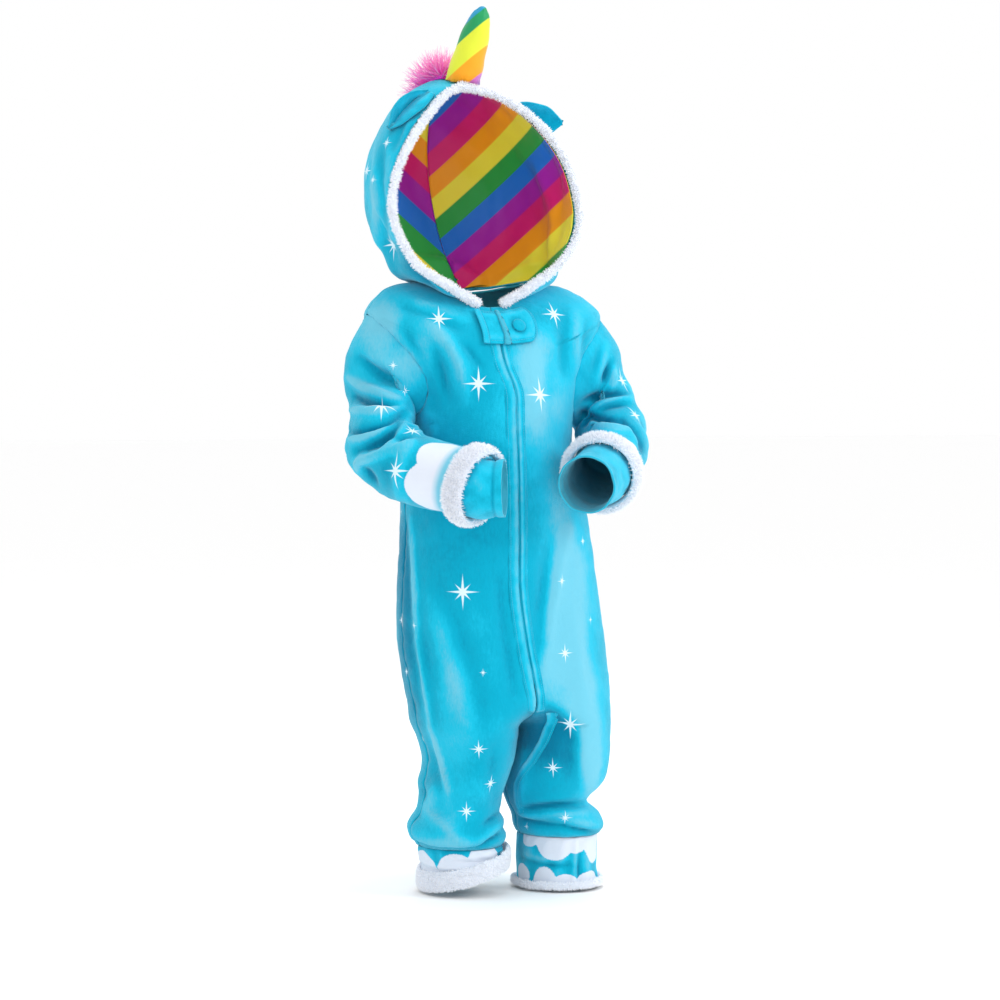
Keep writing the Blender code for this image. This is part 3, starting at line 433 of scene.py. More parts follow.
def out_of_tube(points):
    """Unit normals of a tube's grid of points, away from its middle."""
    return turned_to(out_of(points, True), points - points.mean(axis=1, keepdims=True))


def in_scene(name, data):
    """A new object in the scene."""
    made = bpy.data.objects.new(name, data)
    bpy.context.scene.collection.objects.link(made)
    return made


def smooth_piece(name, mesh):
    """An object of a mesh, with its faces turned outwards and shaded smooth."""
    shape = bmesh.new()
    shape.from_mesh(mesh)
    bmesh.ops.recalc_face_normals(shape, faces=shape.faces)
    shape.to_mesh(mesh)
    shape.free()
    mesh.shade_smooth()
    return in_scene(name, mesh)


def add_mark(mesh, key, values, vector=False):
    """Keeps a number or a vector at each vertex, for the material."""
    made = mesh.attributes.new(key, "FLOAT_VECTOR" if vector else "FLOAT", "POINT")
    made.data.foreach_set("vector" if vector else "value", values.ravel().astype(np.float32))


def shell_faces(rows, columns, closed):
    """The faces of a shell with two sides, and the place of each of their corners in its flat map,
    which has one column more."""
    count = rows * columns
    wide = columns + 1
    across = np.arange(columns if closed else columns - 1)
    i, j = (part.ravel() for part in np.meshgrid(np.arange(rows - 1), across, indexing="ij"))
    k = (j + 1) % columns
    here, below = i * columns, (i + 1) * columns
    outer = np.stack([here + j, here + k, below + k, below + j], axis=-1)
    spot = i * wide + j
    corners = np.stack([spot, spot + 1, spot + 1 + wide, spot + wide], axis=-1)
    faces = [outer, outer[:, ::-1] + count]
    maps = [corners, corners[:, ::-1]]
    for row in (0, rows - 1):
        at, to = row * columns + across, row * columns + (across + 1) % columns
        faces.append(np.stack([at, to, to + count, at + count], axis=-1))
        spot = row * wide + across
        maps.append(np.stack([spot, spot + 1, spot + 1, spot], axis=-1))
    if not closed:
        for column in (0, columns - 1):
            at = np.arange(rows - 1) * columns + column
            faces.append(np.stack([at, at + columns, at + columns + count, at + count], axis=-1))
            spot = np.arange(rows - 1) * wide + column
            maps.append(np.stack([spot, spot + wide, spot + wide, spot], axis=-1))
    return np.concatenate(faces), np.concatenate(maps)


def cloth_piece(name, points, finish, marks=None, out=None, thick=CLOTH, flat_map=None):
    """A thin shell of cloth behind a grid of points, with its flat map and its marks. out is the way
    that it mostly faces, or None for a tube, whose last column joins its first."""
    rows, columns = points.shape[:2]
    closed = out is None
    normal = out_of_tube(points) if closed else turned_to(out_of(points, False), np.array(out, float))
    inner = points - normal * thick
    vertices = np.concatenate([points.reshape(-1, 3), inner.reshape(-1, 3)]) * MM
    faces, maps = shell_faces(rows, columns, closed)
    mesh = bpy.data.meshes.new(name)
    mesh.from_pydata(vertices.tolist(), [], faces.tolist())
    if flat_map is None:
        flat_map = np.stack([run_along(points, 1), run_along(points, 0)], axis=-1)
    if closed:
        last = flat_map[:, :1].copy()
        last[..., 0] = flat_map[:, -1:, 0] + np.linalg.norm(points[:, :1] - points[:, -1:], axis=-1)
    else:
        last = flat_map[:, -1:]
    full = np.concatenate([flat_map, last], axis=1).reshape(-1, 2) * MM
    layer = mesh.uv_layers.new(name="cut")
    layer.data.foreach_set("uv", full[maps].ravel().astype(np.float32))
    for key, values in ((marks or {}) | {"inside": np.zeros((rows, columns))}).items():
        hidden = np.ones_like(values) if key == "inside" else np.zeros_like(values)
        add_mark(mesh, key, np.stack([values, hidden]), values.ndim == 3)
    mesh.materials.append(finish)
    return smooth_piece(name, mesh)


STAR_SIZE = 1.2  # the rays fade before they end
STAR_GAP = 7.0  # mm of plain cloth between two stars at least
STAR_NEAR = 1.12  # star radii round a centre where its star is drawn
STAR_FIELD = 2.6  # star radii round a centre where its coordinates are written
TURNED_AWAY = 400  # mm added to the distance of points that don't show, so that none is picked


def star_marks(points, outward, stars):
    """Where each point is within its nearest star, in star radii, with 1 as the third value near one."""
    across, up = as_seen(points)
    turned_away = TURNED_AWAY * (outward @ VIEW_BACK < 0)
    marks = np.zeros(points.shape)
    for star_across, star_up, reach in each_row(stars):
        radius = reach * STAR_SIZE
        miss = np.hypot(across - star_across, up - star_up) + turned_away
        spot = np.unravel_index(miss.argmin(), miss.shape)
        away = np.linalg.norm(points - points[spot], axis=-1)
        if miss[spot] < 6 and not (marks[away < radius + STAR_GAP, 2] > 0).any():
            near_star(marks, points, outward[spot], points[spot], radius)
    return marks


def near_star(marks, points, normal, centre, radius):
    """Writes one star's own coordinates into the marks round its centre."""
    level = unit(np.cross([0.0, 0.0, 1.0], normal))
    from_centre = (points - centre) / radius
    away = np.linalg.norm(from_centre, axis=-1)
    held = np.linalg.norm(marks[..., :2], axis=-1)
    closer = (away < STAR_FIELD) & ((held == 0) | (away < held))
    marks[closer, 0] = (from_centre @ level)[closer]
    marks[closer, 1] = (from_centre @ np.cross(normal, level))[closer]
    marks[closer, 2] = away[closer] < STAR_NEAR


STAR_COLUMNS = "across up radius"
STARS = table(STAR_COLUMNS, [
    (-37, -19, 13),
    (83, -14, 14.5),
    (3, -86, 15.5),
    (66, -96, 16.5),
    (-14, -299, 16),
    (112, -249, 5.5),
    (88, -287, 7),
    (92, -365, 9),
    (9, -379, 4),
    (-62, -334, 6),
    (99, -436, 13.5),
    (4, -459, 9.5),
    (-15, -449, 3.5),
    (79, -482, 9.5),
    (118, -456, 7),
    (16, -497, 8.5),
    (-10, -524, 9.5),
    (92, -536, 7),
    (53, -550, 4),
    (-36, -200, 7),
    (120, -330, 4),
])


def scattered_stars(marks, points, outward, hidden, seed):
    """Adds stars of the same print on the parts that the photo doesn't show."""
    draw = np.random.default_rng(seed)
    spots = np.argwhere(hidden & (marks[..., 2] == 0))
    taken = []
    for spot in draw.permutation(spots)[:400]:
        spot = tuple(spot)
        radius = draw.choice([14.0, 9.0, 6.5, 4.5], p=[0.3, 0.3, 0.2, 0.2])
        away = np.linalg.norm(points - points[spot], axis=-1)
        crowded = any(away[other] < 33 + radius for other in taken)
        if crowded or (marks[away < radius + STAR_GAP, 2] > 0).any():
            continue
        taken.append(spot)
        near_star(marks, points, outward[spot], points[spot], radius)


def node_group(name, inputs, outputs, tree="ShaderNodeTree"):
    """An empty group of nodes with named sockets."""
    group = bpy.data.node_groups.new(name, tree)
    for way, sockets in (("INPUT", inputs), ("OUTPUT", outputs)):
        for label, kind in sockets:
            group.interface.new_socket(label, in_out=way, socket_type=kind)
    return group, group.nodes.new("NodeGroupInput"), group.nodes.new("NodeGroupOutput")


class Wiring:
    """Short ways to add and join the nodes of one tree."""

    def __init__(self, tree):
        self.tree = tree

    def feed(self, socket, value):
        """Joins another node's output to a socket, or sets its value."""
        if isinstance(value, bpy.types.NodeSocket):
            self.tree.links.new(value, socket)
        else:
            socket.default_value = value

    def add(self, kind, inputs=None, **settings):
        """A node with these settings and inputs."""
        node = self.tree.nodes.new(kind)
        for name, value in settings.items():
            setattr(node, name, value)
        for name, value in (inputs or {}).items():
            self.feed(node.inputs[name], value)
        return node

    def maths(self, operation, *values, clamp=False):
        node = self.add("ShaderNodeMath", dict(enumerate(values)), operation=operation, use_clamp=clamp)
        return node.outputs[0]

    def step(self, value, low, high):
        """0 below low, 1 above high, and smooth between."""
        inputs = {"Value": value, "From Min": low, "From Max": high}
        return self.add("ShaderNodeMapRange", inputs, interpolation_type="SMOOTHSTEP").outputs["Result"]

    def mix(self, share, first, second):
        """Two colours mixed by a share."""
        first, second = ((*value, 1) if isinstance(value, tuple) else value for value in (first, second))
        return self.add("ShaderNodeMix", {0: share, 6: first, 7: second}, data_type="RGBA").outputs[2]

    def mark(self, name, output="Fac"):
        """What a mark of the mesh says at each point."""
        return self.add("ShaderNodeAttribute", attribute_name=name).outputs[output]

    def noise(self, vector, scale, detail, rough):
        inputs = {"Vector": vector, "Scale": scale, "Detail": detail, "Roughness": rough}
        return self.add("ShaderNodeTexNoise", inputs).outputs["Fac"]

    def bump(self, height, strength, distance, **over):
        inputs = {"Strength": strength, "Distance": distance, "Height": height, **over}
        return self.add("ShaderNodeBump", inputs).outputs["Normal"]


def new_material(name, settings):
    """A material with these inputs of its shader, the ways to wire it, and the shader."""
    made = bpy.data.materials.new(name)
    made.use_nodes = True
    shader = made.node_tree.nodes["Principled BSDF"]
    for label, value in settings.items():
        shader.inputs[label].default_value = value
    return made, Wiring(made.node_tree), shader


def star_group():
    """The mask of one printed star: eight thin rays, the upright and level ones longer, and a core."""
    inputs, outputs = [("Place", "NodeSocketVector")], [("Mask", "NodeSocketFloat")]
    group, start, end = node_group("sparkle_star", inputs, outputs)
    wires = Wiring(group)
    x, y, near = wires.add("ShaderNodeSeparateXYZ", {0: start.outputs["Place"]}).outputs
    half = math.sqrt(0.5)
    slant_a = wires.maths("MULTIPLY", wires.maths("ADD", x, y), half)
    slant_b = wires.maths("MULTIPLY", wires.maths("SUBTRACT", x, y), half)
    rays = []
    for along, aside, length, width in (
        (y, x, 1.0, 0.105),
        (x, y, 0.92, 0.1),
        (slant_a, slant_b, 0.62, 0.1),
        (slant_b, slant_a, 0.62, 0.1),
    ):
        reach = wires.maths("DIVIDE", wires.maths("ABSOLUTE", along), length)
        thin = wires.maths("MULTIPLY", wires.maths("SUBTRACT", 1.0, reach), width)
        inside = wires.maths("SUBTRACT", thin, wires.maths("ABSOLUTE", aside))
        rays.append(wires.step(inside, -0.012, 0.03))
    squared = wires.maths("ADD", wires.maths("MULTIPLY", x, x), wires.maths("MULTIPLY", y, y))
    mask = wires.maths("SUBTRACT", 1.0, wires.step(squared, 0.02, 0.06))
    for ray in rays:
        mask = wires.maths("MAXIMUM", mask, ray)
    wires.feed(end.inputs["Mask"], wires.maths("MULTIPLY", mask, wires.step(near, 0.5, 0.9)))
    return group


def velour_material():
    """Short dense pile with random mottling and the white print, and painted light: a painted highlight on
    ridges and lit patches, painted shade in the troughs and shaded patches.
    """
    settings = {
        "Roughness": 0.95,
        "Specular IOR Level": 0.05,
        "Sheen Weight": 0.4,
        "Sheen Roughness": 0.45,
        "Sheen Tint": (0.62, 0.93, 1.0, 1),
    }
    made, wires, shader = new_material("velour", settings)
    place = wires.add("ShaderNodeTexCoord").outputs["Object"]
    painted_light_and_mottle = wires.mark("painted_light_and_mottle")
    patches = wires.maths("SUBTRACT", wires.noise(place, 26, 4, 0.6), 0.5)
    streaks = wires.add("ShaderNodeMapping", {"Scale": (1.0, 1.0, 0.35), "Vector": place})
    pile = wires.maths("SUBTRACT", wires.noise(streaks.outputs[0], 420, 3, 0.7), 0.5)
    # lean is the pile's random mottling plus the painted light and painted shade of the mesh's mark.
    lean = wires.maths("MULTIPLY_ADD", patches, 1.1, painted_light_and_mottle)
    lean = wires.maths("MULTIPLY_ADD", pile, 0.9, lean)
    # The darkest colour is painted shade for troughs and shaded patches, the lightest a painted highlight
    # for ridges and lit patches.
    colour = wires.mix(wires.step(lean, -1.5, -0.2), (0.0, 0.20, 0.34), (0.001, 0.38, 0.56))
    colour = wires.mix(wires.step(lean, -0.2, 0.5), colour, (0.008, 0.49, 0.70))
    colour = wires.mix(wires.step(lean, 0.4, 1.5), colour, (0.15, 0.54, 0.70))
    stars = wires.add("ShaderNodeGroup", node_tree=bpy.data.node_groups["sparkle_star"])
    wires.feed(stars.inputs["Place"], wires.mark("star", "Vector"))
    fuzz = wires.noise(place, 900, 2, 0.6)
    worn = wires.maths("MULTIPLY_ADD", fuzz, 0.25, 0.82)
    printed = wires.maths("MULTIPLY", stars.outputs["Mask"], worn, clamp=True)
    # fade paints shade on the white of the clouds near the fur cuff: painted shade, bluer and darker there.
    fade = wires.mark("fade")
    cloud_print_and_painted_shade = wires.mix(fade, (0.72, 0.77, 0.87), (0.16, 0.55, 0.72))
    frayed = wires.maths("MULTIPLY_ADD", wires.maths("SUBTRACT", fuzz, 0.5), 2.4, wires.mark("cloud"))
    colour = wires.mix(wires.step(frayed, 1.4, 2.6), colour, cloud_print_and_painted_shade)
    colour = wires.mix(printed, colour, (0.74, 0.88, 0.95))
    colour = wires.mix(wires.mark("inside"), colour, (0.05, 0.42, 0.58))
    wires.feed(shader.inputs["Base Color"], colour)
    soft = wires.bump(wires.noise(place, 110, 3, 0.6), 0.3, 0.002)
    fine = wires.bump(wires.noise(place, 1300, 2, 0.6), 0.6, 0.0008, Normal=soft)
    wires.feed(shader.inputs["Normal"], fine)
    return made


star_group()
velour = velour_material()


def declare(piece, node, slot, flat=None, area=None, held="draped", with_pieces=()):
    """Every piece rides on the one body and stands for its CAD node. The flat size given for a cut piece is
    not used.
    """
    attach(piece, "root")
    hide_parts(node)


def seam_dip(distance, depth=1.3, width=2.2):
    """Cloth pulled in by the thread beside a seam."""
    return -depth * np.exp(-((distance / width) ** 2))


def puckers(run, distance, seed, height=0.5):
    """Small gathers square to a seam."""
    wave = np.sin(run / 3.1 + 2.2 * np.sin(run / 17 + seed) + seed)
    return height * wave * np.exp(-((distance / 9) ** 2))


PANEL_CUT = {"front": (0.22, 0.74), "back": (0.225, 0.72)}
PANEL_AREA = {"front": 0.091, "back": 0.095}

for side in (RIGHT, LEFT):
    for part in ("front", "back"):
        at = even_rows(body_ring(side), 0, LAST_ROW, -45, 3.6)
        _, half, start = ring_share(side, at)
        stop = side_edge(part, at) + np.degrees(SEAM_GAP / 2 / np.minimum(half, 90))
        share = np.linspace(0, 1, 46)
        sign = -1 if part == "front" else 1
        angle = sign * (start[:, None] + (stop - start)[:, None] * share)
        rows = np.broadcast_to(at[:, None], angle.shape)
        plain = body_points(side, rows, angle)
        across_run, down_run = run_along(plain, 1), run_along(plain, 0)
        from_middle = across_run
        from_side = across_run[:, -1:] - across_run
        detail = seam_dip(from_side, 0.5) + puckers(down_run, from_side, side + 3, 0.4)
        if part == "back":
            detail += seam_dip(from_middle) + puckers(down_run, from_middle, side)
        detail += 0.9 * unevenness(plain, 22, 7.3 + side) + 0.5 * unevenness(plain, 9, 3.1 + side)
        points = body_points(side, rows, angle, detail)
        # Painted light and shade: lighter on fold ridges, darker in troughs, plus the painted patches and
        # random mottling.
        painted_light_and_mottle = np.clip(body_folds(side, rows, angle) / 4, -1.3, 1.0) + mottle_and_painted_light(plain)
        flat_map = np.stack([across_run, down_run], axis=-1)
        bare = body_ring(side)(rows, angle)
        outward = out_of(bare, False) * side * sign
        if part == "front":
            stars = star_marks(bare, outward, STARS)
        else:
            stars = np.zeros(points.shape)
            scattered_stars(stars, bare, outward, from_middle > 12, 40 + side)
        marks = {"painted_light_and_mottle": painted_light_and_mottle, "star": stars}
        name = f"{part}_panel_{WORD[side]}"
        panel = cloth_piece(name, points, velour, marks, (0, sign, 0), flat_map=flat_map)
        declare(panel, f"{part}_{WORD[side]}", "velour", PANEL_CUT[part], PANEL_AREA[part], "hung")


# Sleeves. One piece each, set into the armhole, wrinkled where the elbow bends, and printed with
# clouds at the wrist, where a white plush ring hides the seam to the narrower inner cuff.

ARMHOLE_X = 96  # the middle of each armhole, from the middle of the torso
ARMHOLE_Z = -70
ARMHOLE_EASE = 0.997  # the sleeve's head is this much smaller than the armhole

# Sleeve rings from below the armhole to the fur cuff, by the line along the outside of the arm and
# the one along its inside.
ARM_COLUMNS = "out_x out_y out_z in_x in_y in_z depth"
ARMS = {
    RIGHT: table(ARM_COLUMNS, [
        (-136, -3, -50, -91, -6, -132, 41),
        (-129, -10, -88, -86, -16, -140, 40),
        (-146, -22, -124, -84, -32, -143, 38),
        (-156, -42, -160, -83, -48, -143, 38),
        (-138, -67, -188, -80, -62, -141, 38),
        (-125, -91, -196, -76, -74, -146, 37),
        (-106, -118, -202, -56, -99, -156, 35.5),
        (-87, -139, -206, -38, -119, -162, 34.5),
    ]),
    LEFT: table(ARM_COLUMNS, [
        (160, -4, -46, 110, -6, -132, 41),
        (166, -11, -84, 107, -16, -139, 40),
        (178, -24, -122, 105, -30, -141, 38),
        (169, -45, -156, 105, -46, -138, 38),
        (150, -77, -180, 107, -57, -133, 38),
        (137, -97, -189, 94, -78, -143, 35.5),
        (121, -118, -197, 77, -100, -150, 34.5),
    ]),
}

# The middle of each wrist opening.
WRIST_COLUMNS = "x y z"
WRISTS = {
    RIGHT: table(WRIST_COLUMNS, [(-31, -157, -190)]),
    LEFT: table(WRIST_COLUMNS, [(55, -164, -187)]),
}
FUR_CUFF_LENGTH = 24
FUR_CUFF_THICK = 10.5
WRIST_RADII = (32, 31.5, 31, 28.5, 29.5)

# The largest folds of the sleeves, by degrees round the ring from the outside of the arm (90 is the
# front) and rows of the arm's table.
SLEEVE_FOLD_COLUMNS = "angle_a row_a angle_b row_b half_width height"
SLEEVE_FOLDS = {
    RIGHT: table(SLEEVE_FOLD_COLUMNS, [
        (20, 2.6, 150, 3.5, 0.3, 7),
        (5, 3.2, 150, 3.95, 0.22, -6),
        (-10, 3.8, 150, 4.3, 0.28, 8),
        (-10, 4.5, 140, 4.7, 0.22, -6),
        (-20, 5.2, 130, 5.1, 0.3, 6),
        (200, 3.9, 320, 4.3, 0.3, -6),
    ]),
    LEFT: table(SLEEVE_FOLD_COLUMNS, [
        (10, 2.2, 140, 3.1, 0.3, 7),
        (0, 2.8, 150, 3.6, 0.22, -6),
        (-10, 3.3, 150, 3.9, 0.28, 8),
        (-10, 3.9, 140, 4.3, 0.22, -6),
        (-10, 4.6, 130, 4.7, 0.3, 6),
        (200, 3.6, 320, 4.0, 0.3, -6),
    ]),
}


def armhole_row(turn):
    """The row on the armhole's edge at a turn of 0 (shoulder) to 180 degrees (underarm)."""
    middle = (SHOULDER_ROW + UNDERARM_ROW) / 2
    return middle - (UNDERARM_ROW - SHOULDER_ROW) / 2 * np.cos(np.radians(turn))


def arm_rings(side, turn):
    """For each turn, the points of the armhole's edge and then of every ring of the sleeve."""
    arm = ARMS[side]
    outer = np.stack([arm["out_x"], arm["out_y"], arm["out_z"]], axis=-1)
    inner = np.stack([arm["in_x"], arm["in_y"], arm["in_z"]], axis=-1)
    middle = (outer + inner) / 2
    reach = (outer - inner) / 2
    hole = np.array([TORSO["mid_x"][UNDERARM_ROW] + side * ARMHOLE_X, 0, ARMHOLE_Z])
    path = np.vstack([hole, middle])
    tangent = np.vstack([path[2:] - path[:-2], path[-1:] - path[-2:-1]])
    ahead = -side * np.cross(reach, tangent)
    ahead *= (arm["depth"] / np.linalg.norm(ahead, axis=-1))[:, None]
    angle = np.radians(turn)[..., None, None]
    rings = middle + reach * np.cos(angle) + ahead * np.sin(angle)
    row = armhole_row(turn)
    span = np.where(np.sin(np.radians(turn)) >= 0, -ARMHOLE_FRONT, ARMHOLE_BACK)
    at_edge = span * np.abs(np.sin(np.radians(turn)))
    surface = body_ring(side)
    edge = moved_out(surface, row, at_edge, np.full(np.shape(row), 0.0))
    edge = hole + (edge - hole) * ARMHOLE_EASE
    return np.concatenate([edge[..., None, :], rings], axis=-2)


def sleeve_end(side):
    """The middle of the sleeve's last ring, and the way the arm points there."""
    arm = ARMS[side]
    outer = np.array([arm["out_x"][-1], arm["out_y"][-1], arm["out_z"][-1]])
    inner = np.array([arm["in_x"][-1], arm["in_y"][-1], arm["in_z"][-1]])
    quarter = arm_rings(side, np.array([90.0]))[0, -1]
    middle = (outer + inner) / 2
    return middle, unit(np.cross(outer - middle, quarter - middle) * side)


def sleeve_ring(side):
    """The plain surface of one sleeve by row, with 0 the armhole, and by degrees round."""

    def surface(at, turn):
        controls = arm_rings(side, turn)
        last = controls.shape[-2] - 1
        row = np.clip(np.floor(at).astype(int), 0, last - 1)
        f = (at - row)[..., None]

        def pick(index):
            index = np.clip(index, 0, last)
            return np.take_along_axis(controls, index[..., None, None], axis=-2)[..., 0, :]

        return between(pick(row - 1), pick(row), pick(row + 1), pick(row + 2), f)

    return surface


SLEEVE_SEEN = table(FOLD_COLUMNS, [
    (-117, -60, -79, -84, 3, 5, -4.5),
    (-129, -79, -79, -102, 3, 5, 5),
    (-124, -99, -79, -107, 2, 4, -6),
    (-128, -113, -76, -109, 2, 4.5, 5),
    (-127, -135, -73, -117, 4, 4, -6.5),
    (-125, -141, -73, -118, 4, 4.5, 5),
    (-118, -154, -72, -121, 5, 5, -6.5),
    (-117, -166, -68, -119, 6, 5, 4.5),
    (-100, -156, -82, -135, 0, 3.5, -4),
    (-105, -160, -51, -133, 5, 5, 4.5),
    (-82, -140, -49, -137, 2, 4.5, -4),
    (-118, -173, -112, -154, 0, 4, 3.5),
    (-112, -170, -100, -188, 0, 4, -4),
    (-65, -146, -76, -198, 4, 6, 3.5),
    (131, -49, 123, -72, 0, 4, -4),
    (137, -45, 127, -82, 0, 4.5, 4),
    (141, -64, 134, -82, 0, 3.5, -5.5),
    (143, -68, 143, -90, 0, 4, 4.5),
    (110, -105, 157, -96, -3, 4, -6.5),
    (125, -112, 161, -100, -3, 4.5, 4.5),
    (127, -113, 158, -106, -2, 4, -4),
    (111, -116, 153, -123, 3, 4, -6.5),
    (153, -123, 174, -155, -4, 4.5, -5.5),
    (122, -125, 158, -132, 3, 4.5, 4.5),
    (158, -132, 169, -148, -2, 4, 4),
    (118, -120, 110, -131, 0, 3.5, -3.5),
])
SLEEVE_STARS = {
    RIGHT: table(STAR_COLUMNS, [(-83, -68, 5), (-95, -111, 14), (-62, -133, 12), (-76, -172, 15)]),
    LEFT: table(STAR_COLUMNS, [(154, -81, 13), (167, -118, 12), (139, -124, 5)]),
}
CLOUD_COLUMNS = "across up half_width reach"
SLEEVE_CLOUDS = {
    RIGHT: table(CLOUD_COLUMNS, [(-33, -157, 25, 24), (-40, -191, 35, 31)]),
    LEFT: table(CLOUD_COLUMNS, [(160, -160, 20, 26), (156, -194, 19, 23), (128, -146, 18, 13)]),
}
# Those on the side that doesn't show: degrees round the sleeve, half width and reach up the sleeve.
HIDDEN_CLOUDS = table("turn half_width reach", [
    (20, 24, 26),
    (80, 27, 38),
    (150, 25, 30),
    (215, 26, 36),
    (275, 24, 27),
    (330, 26, 34),
])
SLEEVE_RADIUS = 34  # about, to turn degrees round the sleeve into mm


def lobes(points, outward, clouds):
    """How far inside the nearest of some rounded shapes each point is, measured along the cloth."""
    across, up = as_seen(points)
    turned_away = TURNED_AWAY * (outward @ VIEW_BACK < 0)
    best = np.full(across.shape, -30.0)
    for a, b, half_width, reach in each_row(clouds):
        miss = np.hypot(across - a, up - b) + turned_away
        spot = np.unravel_index(miss.argmin(), miss.shape)
        level = unit(np.cross([0.0, 0.0, 1.0], outward[spot]))
        off = points - points[spot]
        sideways = np.hypot(off @ level, off @ outward[spot]) / half_width
        away = np.hypot(sideways, (off @ np.cross(outward[spot], level)) / reach)
        best = np.maximum(best, (1 - away) * half_width)
    return best


DEGREES_A_ROW = 70  # degrees round the sleeve that are about as long as one row down
SLEEVE_CUT = {RIGHT: ((0.345, 0.30), 0.052), LEFT: ((0.345, 0.27), 0.046)}


def turn_folds(folds, turn, at):
    """The height of the sleeve's folds that go by degrees round and rows down."""
    total = np.zeros(at.shape)
    for a0, b0, a1, b1, half_width, height in each_row(folds):
        line = (a0 / DEGREES_A_ROW, b0, a1 / DEGREES_A_ROW, b1)
        _, beyond, off = beside_line(turn / DEGREES_A_ROW, at, *line, 0.1)
        total += height * np.exp(-((off / half_width) ** 2) - (beyond / half_width) ** 2)
    return total


for side in (RIGHT, LEFT):
    surface = sleeve_ring(side)
    last = len(ARMS[side]["depth"])
    rows = np.concatenate([[-0.12], even_rows(surface, 0, last, 0, 2.6)])
    at, turn = np.meshgrid(rows, np.linspace(0, 360, 97)[:-1], indexing="ij")
    plain = surface(at, turn)
    outward = out_of(plain, True) * side
    seen = np.clip(0.5 + (outward @ VIEW_BACK) * 1.6, 0, 1)
    fade = np.clip((last - at) / 1.0, 0, 1) * np.clip(at / 1.2, 0, 1)
    height = 1.5 * seen * fold_height(SLEEVE_SEEN, plain)
    height += (1 - seen) * 0.8 * turn_folds(SLEEVE_FOLDS[side], turn, at)
    height *= fade
    around, along = run_along(plain, 1), run_along(plain, 0)
    loop = around[:, -1:] + np.linalg.norm(plain[:, :1] - plain[:, -1:], axis=-1)
    detail = 0.8 * unevenness(plain, 17, 5.1 + side) + 0.5 * unevenness(plain, 8, 2.2 + side)
    detail = detail * np.clip(at, 0, 1) + seam_dip(along, 0.3) + puckers(around, along, side + 1.4)
    points = moved_out(surface, at, turn, side * (height + detail))
    flat_map = np.stack([around - loop / 2, along], axis=-1)
    stars = star_marks(plain, outward, SLEEVE_STARS[side])
    scattered_stars(stars, plain, outward, (seen < 0.25) & (at < last - 2), 60 + side)
    from_end = along[-1:] - along
    cloud = np.maximum(10 - from_end, lobes(plain, outward, SLEEVE_CLOUDS[side]))
    for middle, half_width, reach in each_row(HIDDEN_CLOUDS):
        aside = np.radians((turn - middle + 180) % 360 - 180) * SLEEVE_RADIUS / half_width
        lobe = (1 - np.hypot(aside, from_end / reach)) * half_width
        cloud = np.maximum(cloud, lobe - 60 * np.clip(seen - 0.3, 0, 1))
    # The mark paints light on fold ridges and shade in the troughs, with the painted patches and random
    # mottling.
    marks = {
        "painted_light_and_mottle": np.clip(height / 3, -1.6, 1.1) + mottle_and_painted_light(plain),
        "star": stars,
        "cloud": cloud + 2,
        # fade: painted shade on the white of the clouds near the fur cuff.
        "fade": np.clip(1.9 - from_end / 8, 0, 1),
    }
    arm = cloth_piece(f"set_in_sleeve_{WORD[side]}", points, velour, marks, flat_map=flat_map)
    declare(arm, f"sleeve_{WORD[side]}", "velour", *SLEEVE_CUT[side], "hung")



# Fur. Short plush tufts and the mane's long strands are one Geometry Nodes group with different
# sizes: curved cones scattered over a padded base, each with its own length and lean.


GEOMETRY = ("Geometry", "NodeSocketGeometry")


def copies(wires, points, shape, turn, size):
    """Real copies of a shape at points, each with its turn and size."""
    inputs = {"Points": points, "Instance": shape, "Rotation": turn, "Scale": size}
    placed = wires.add("GeometryNodeInstanceOnPoints", inputs)
    return wires.add("GeometryNodeRealizeInstances", {0: placed.outputs[0]}).outputs[0]


def end_group(wires, end, geometry, material):
    """Gives the geometry its material, as what the group makes."""
    finish = wires.add("GeometryNodeSetMaterial", {"Geometry": geometry, "Material": material})
    wires.feed(end.inputs[0], finish.outputs[0])


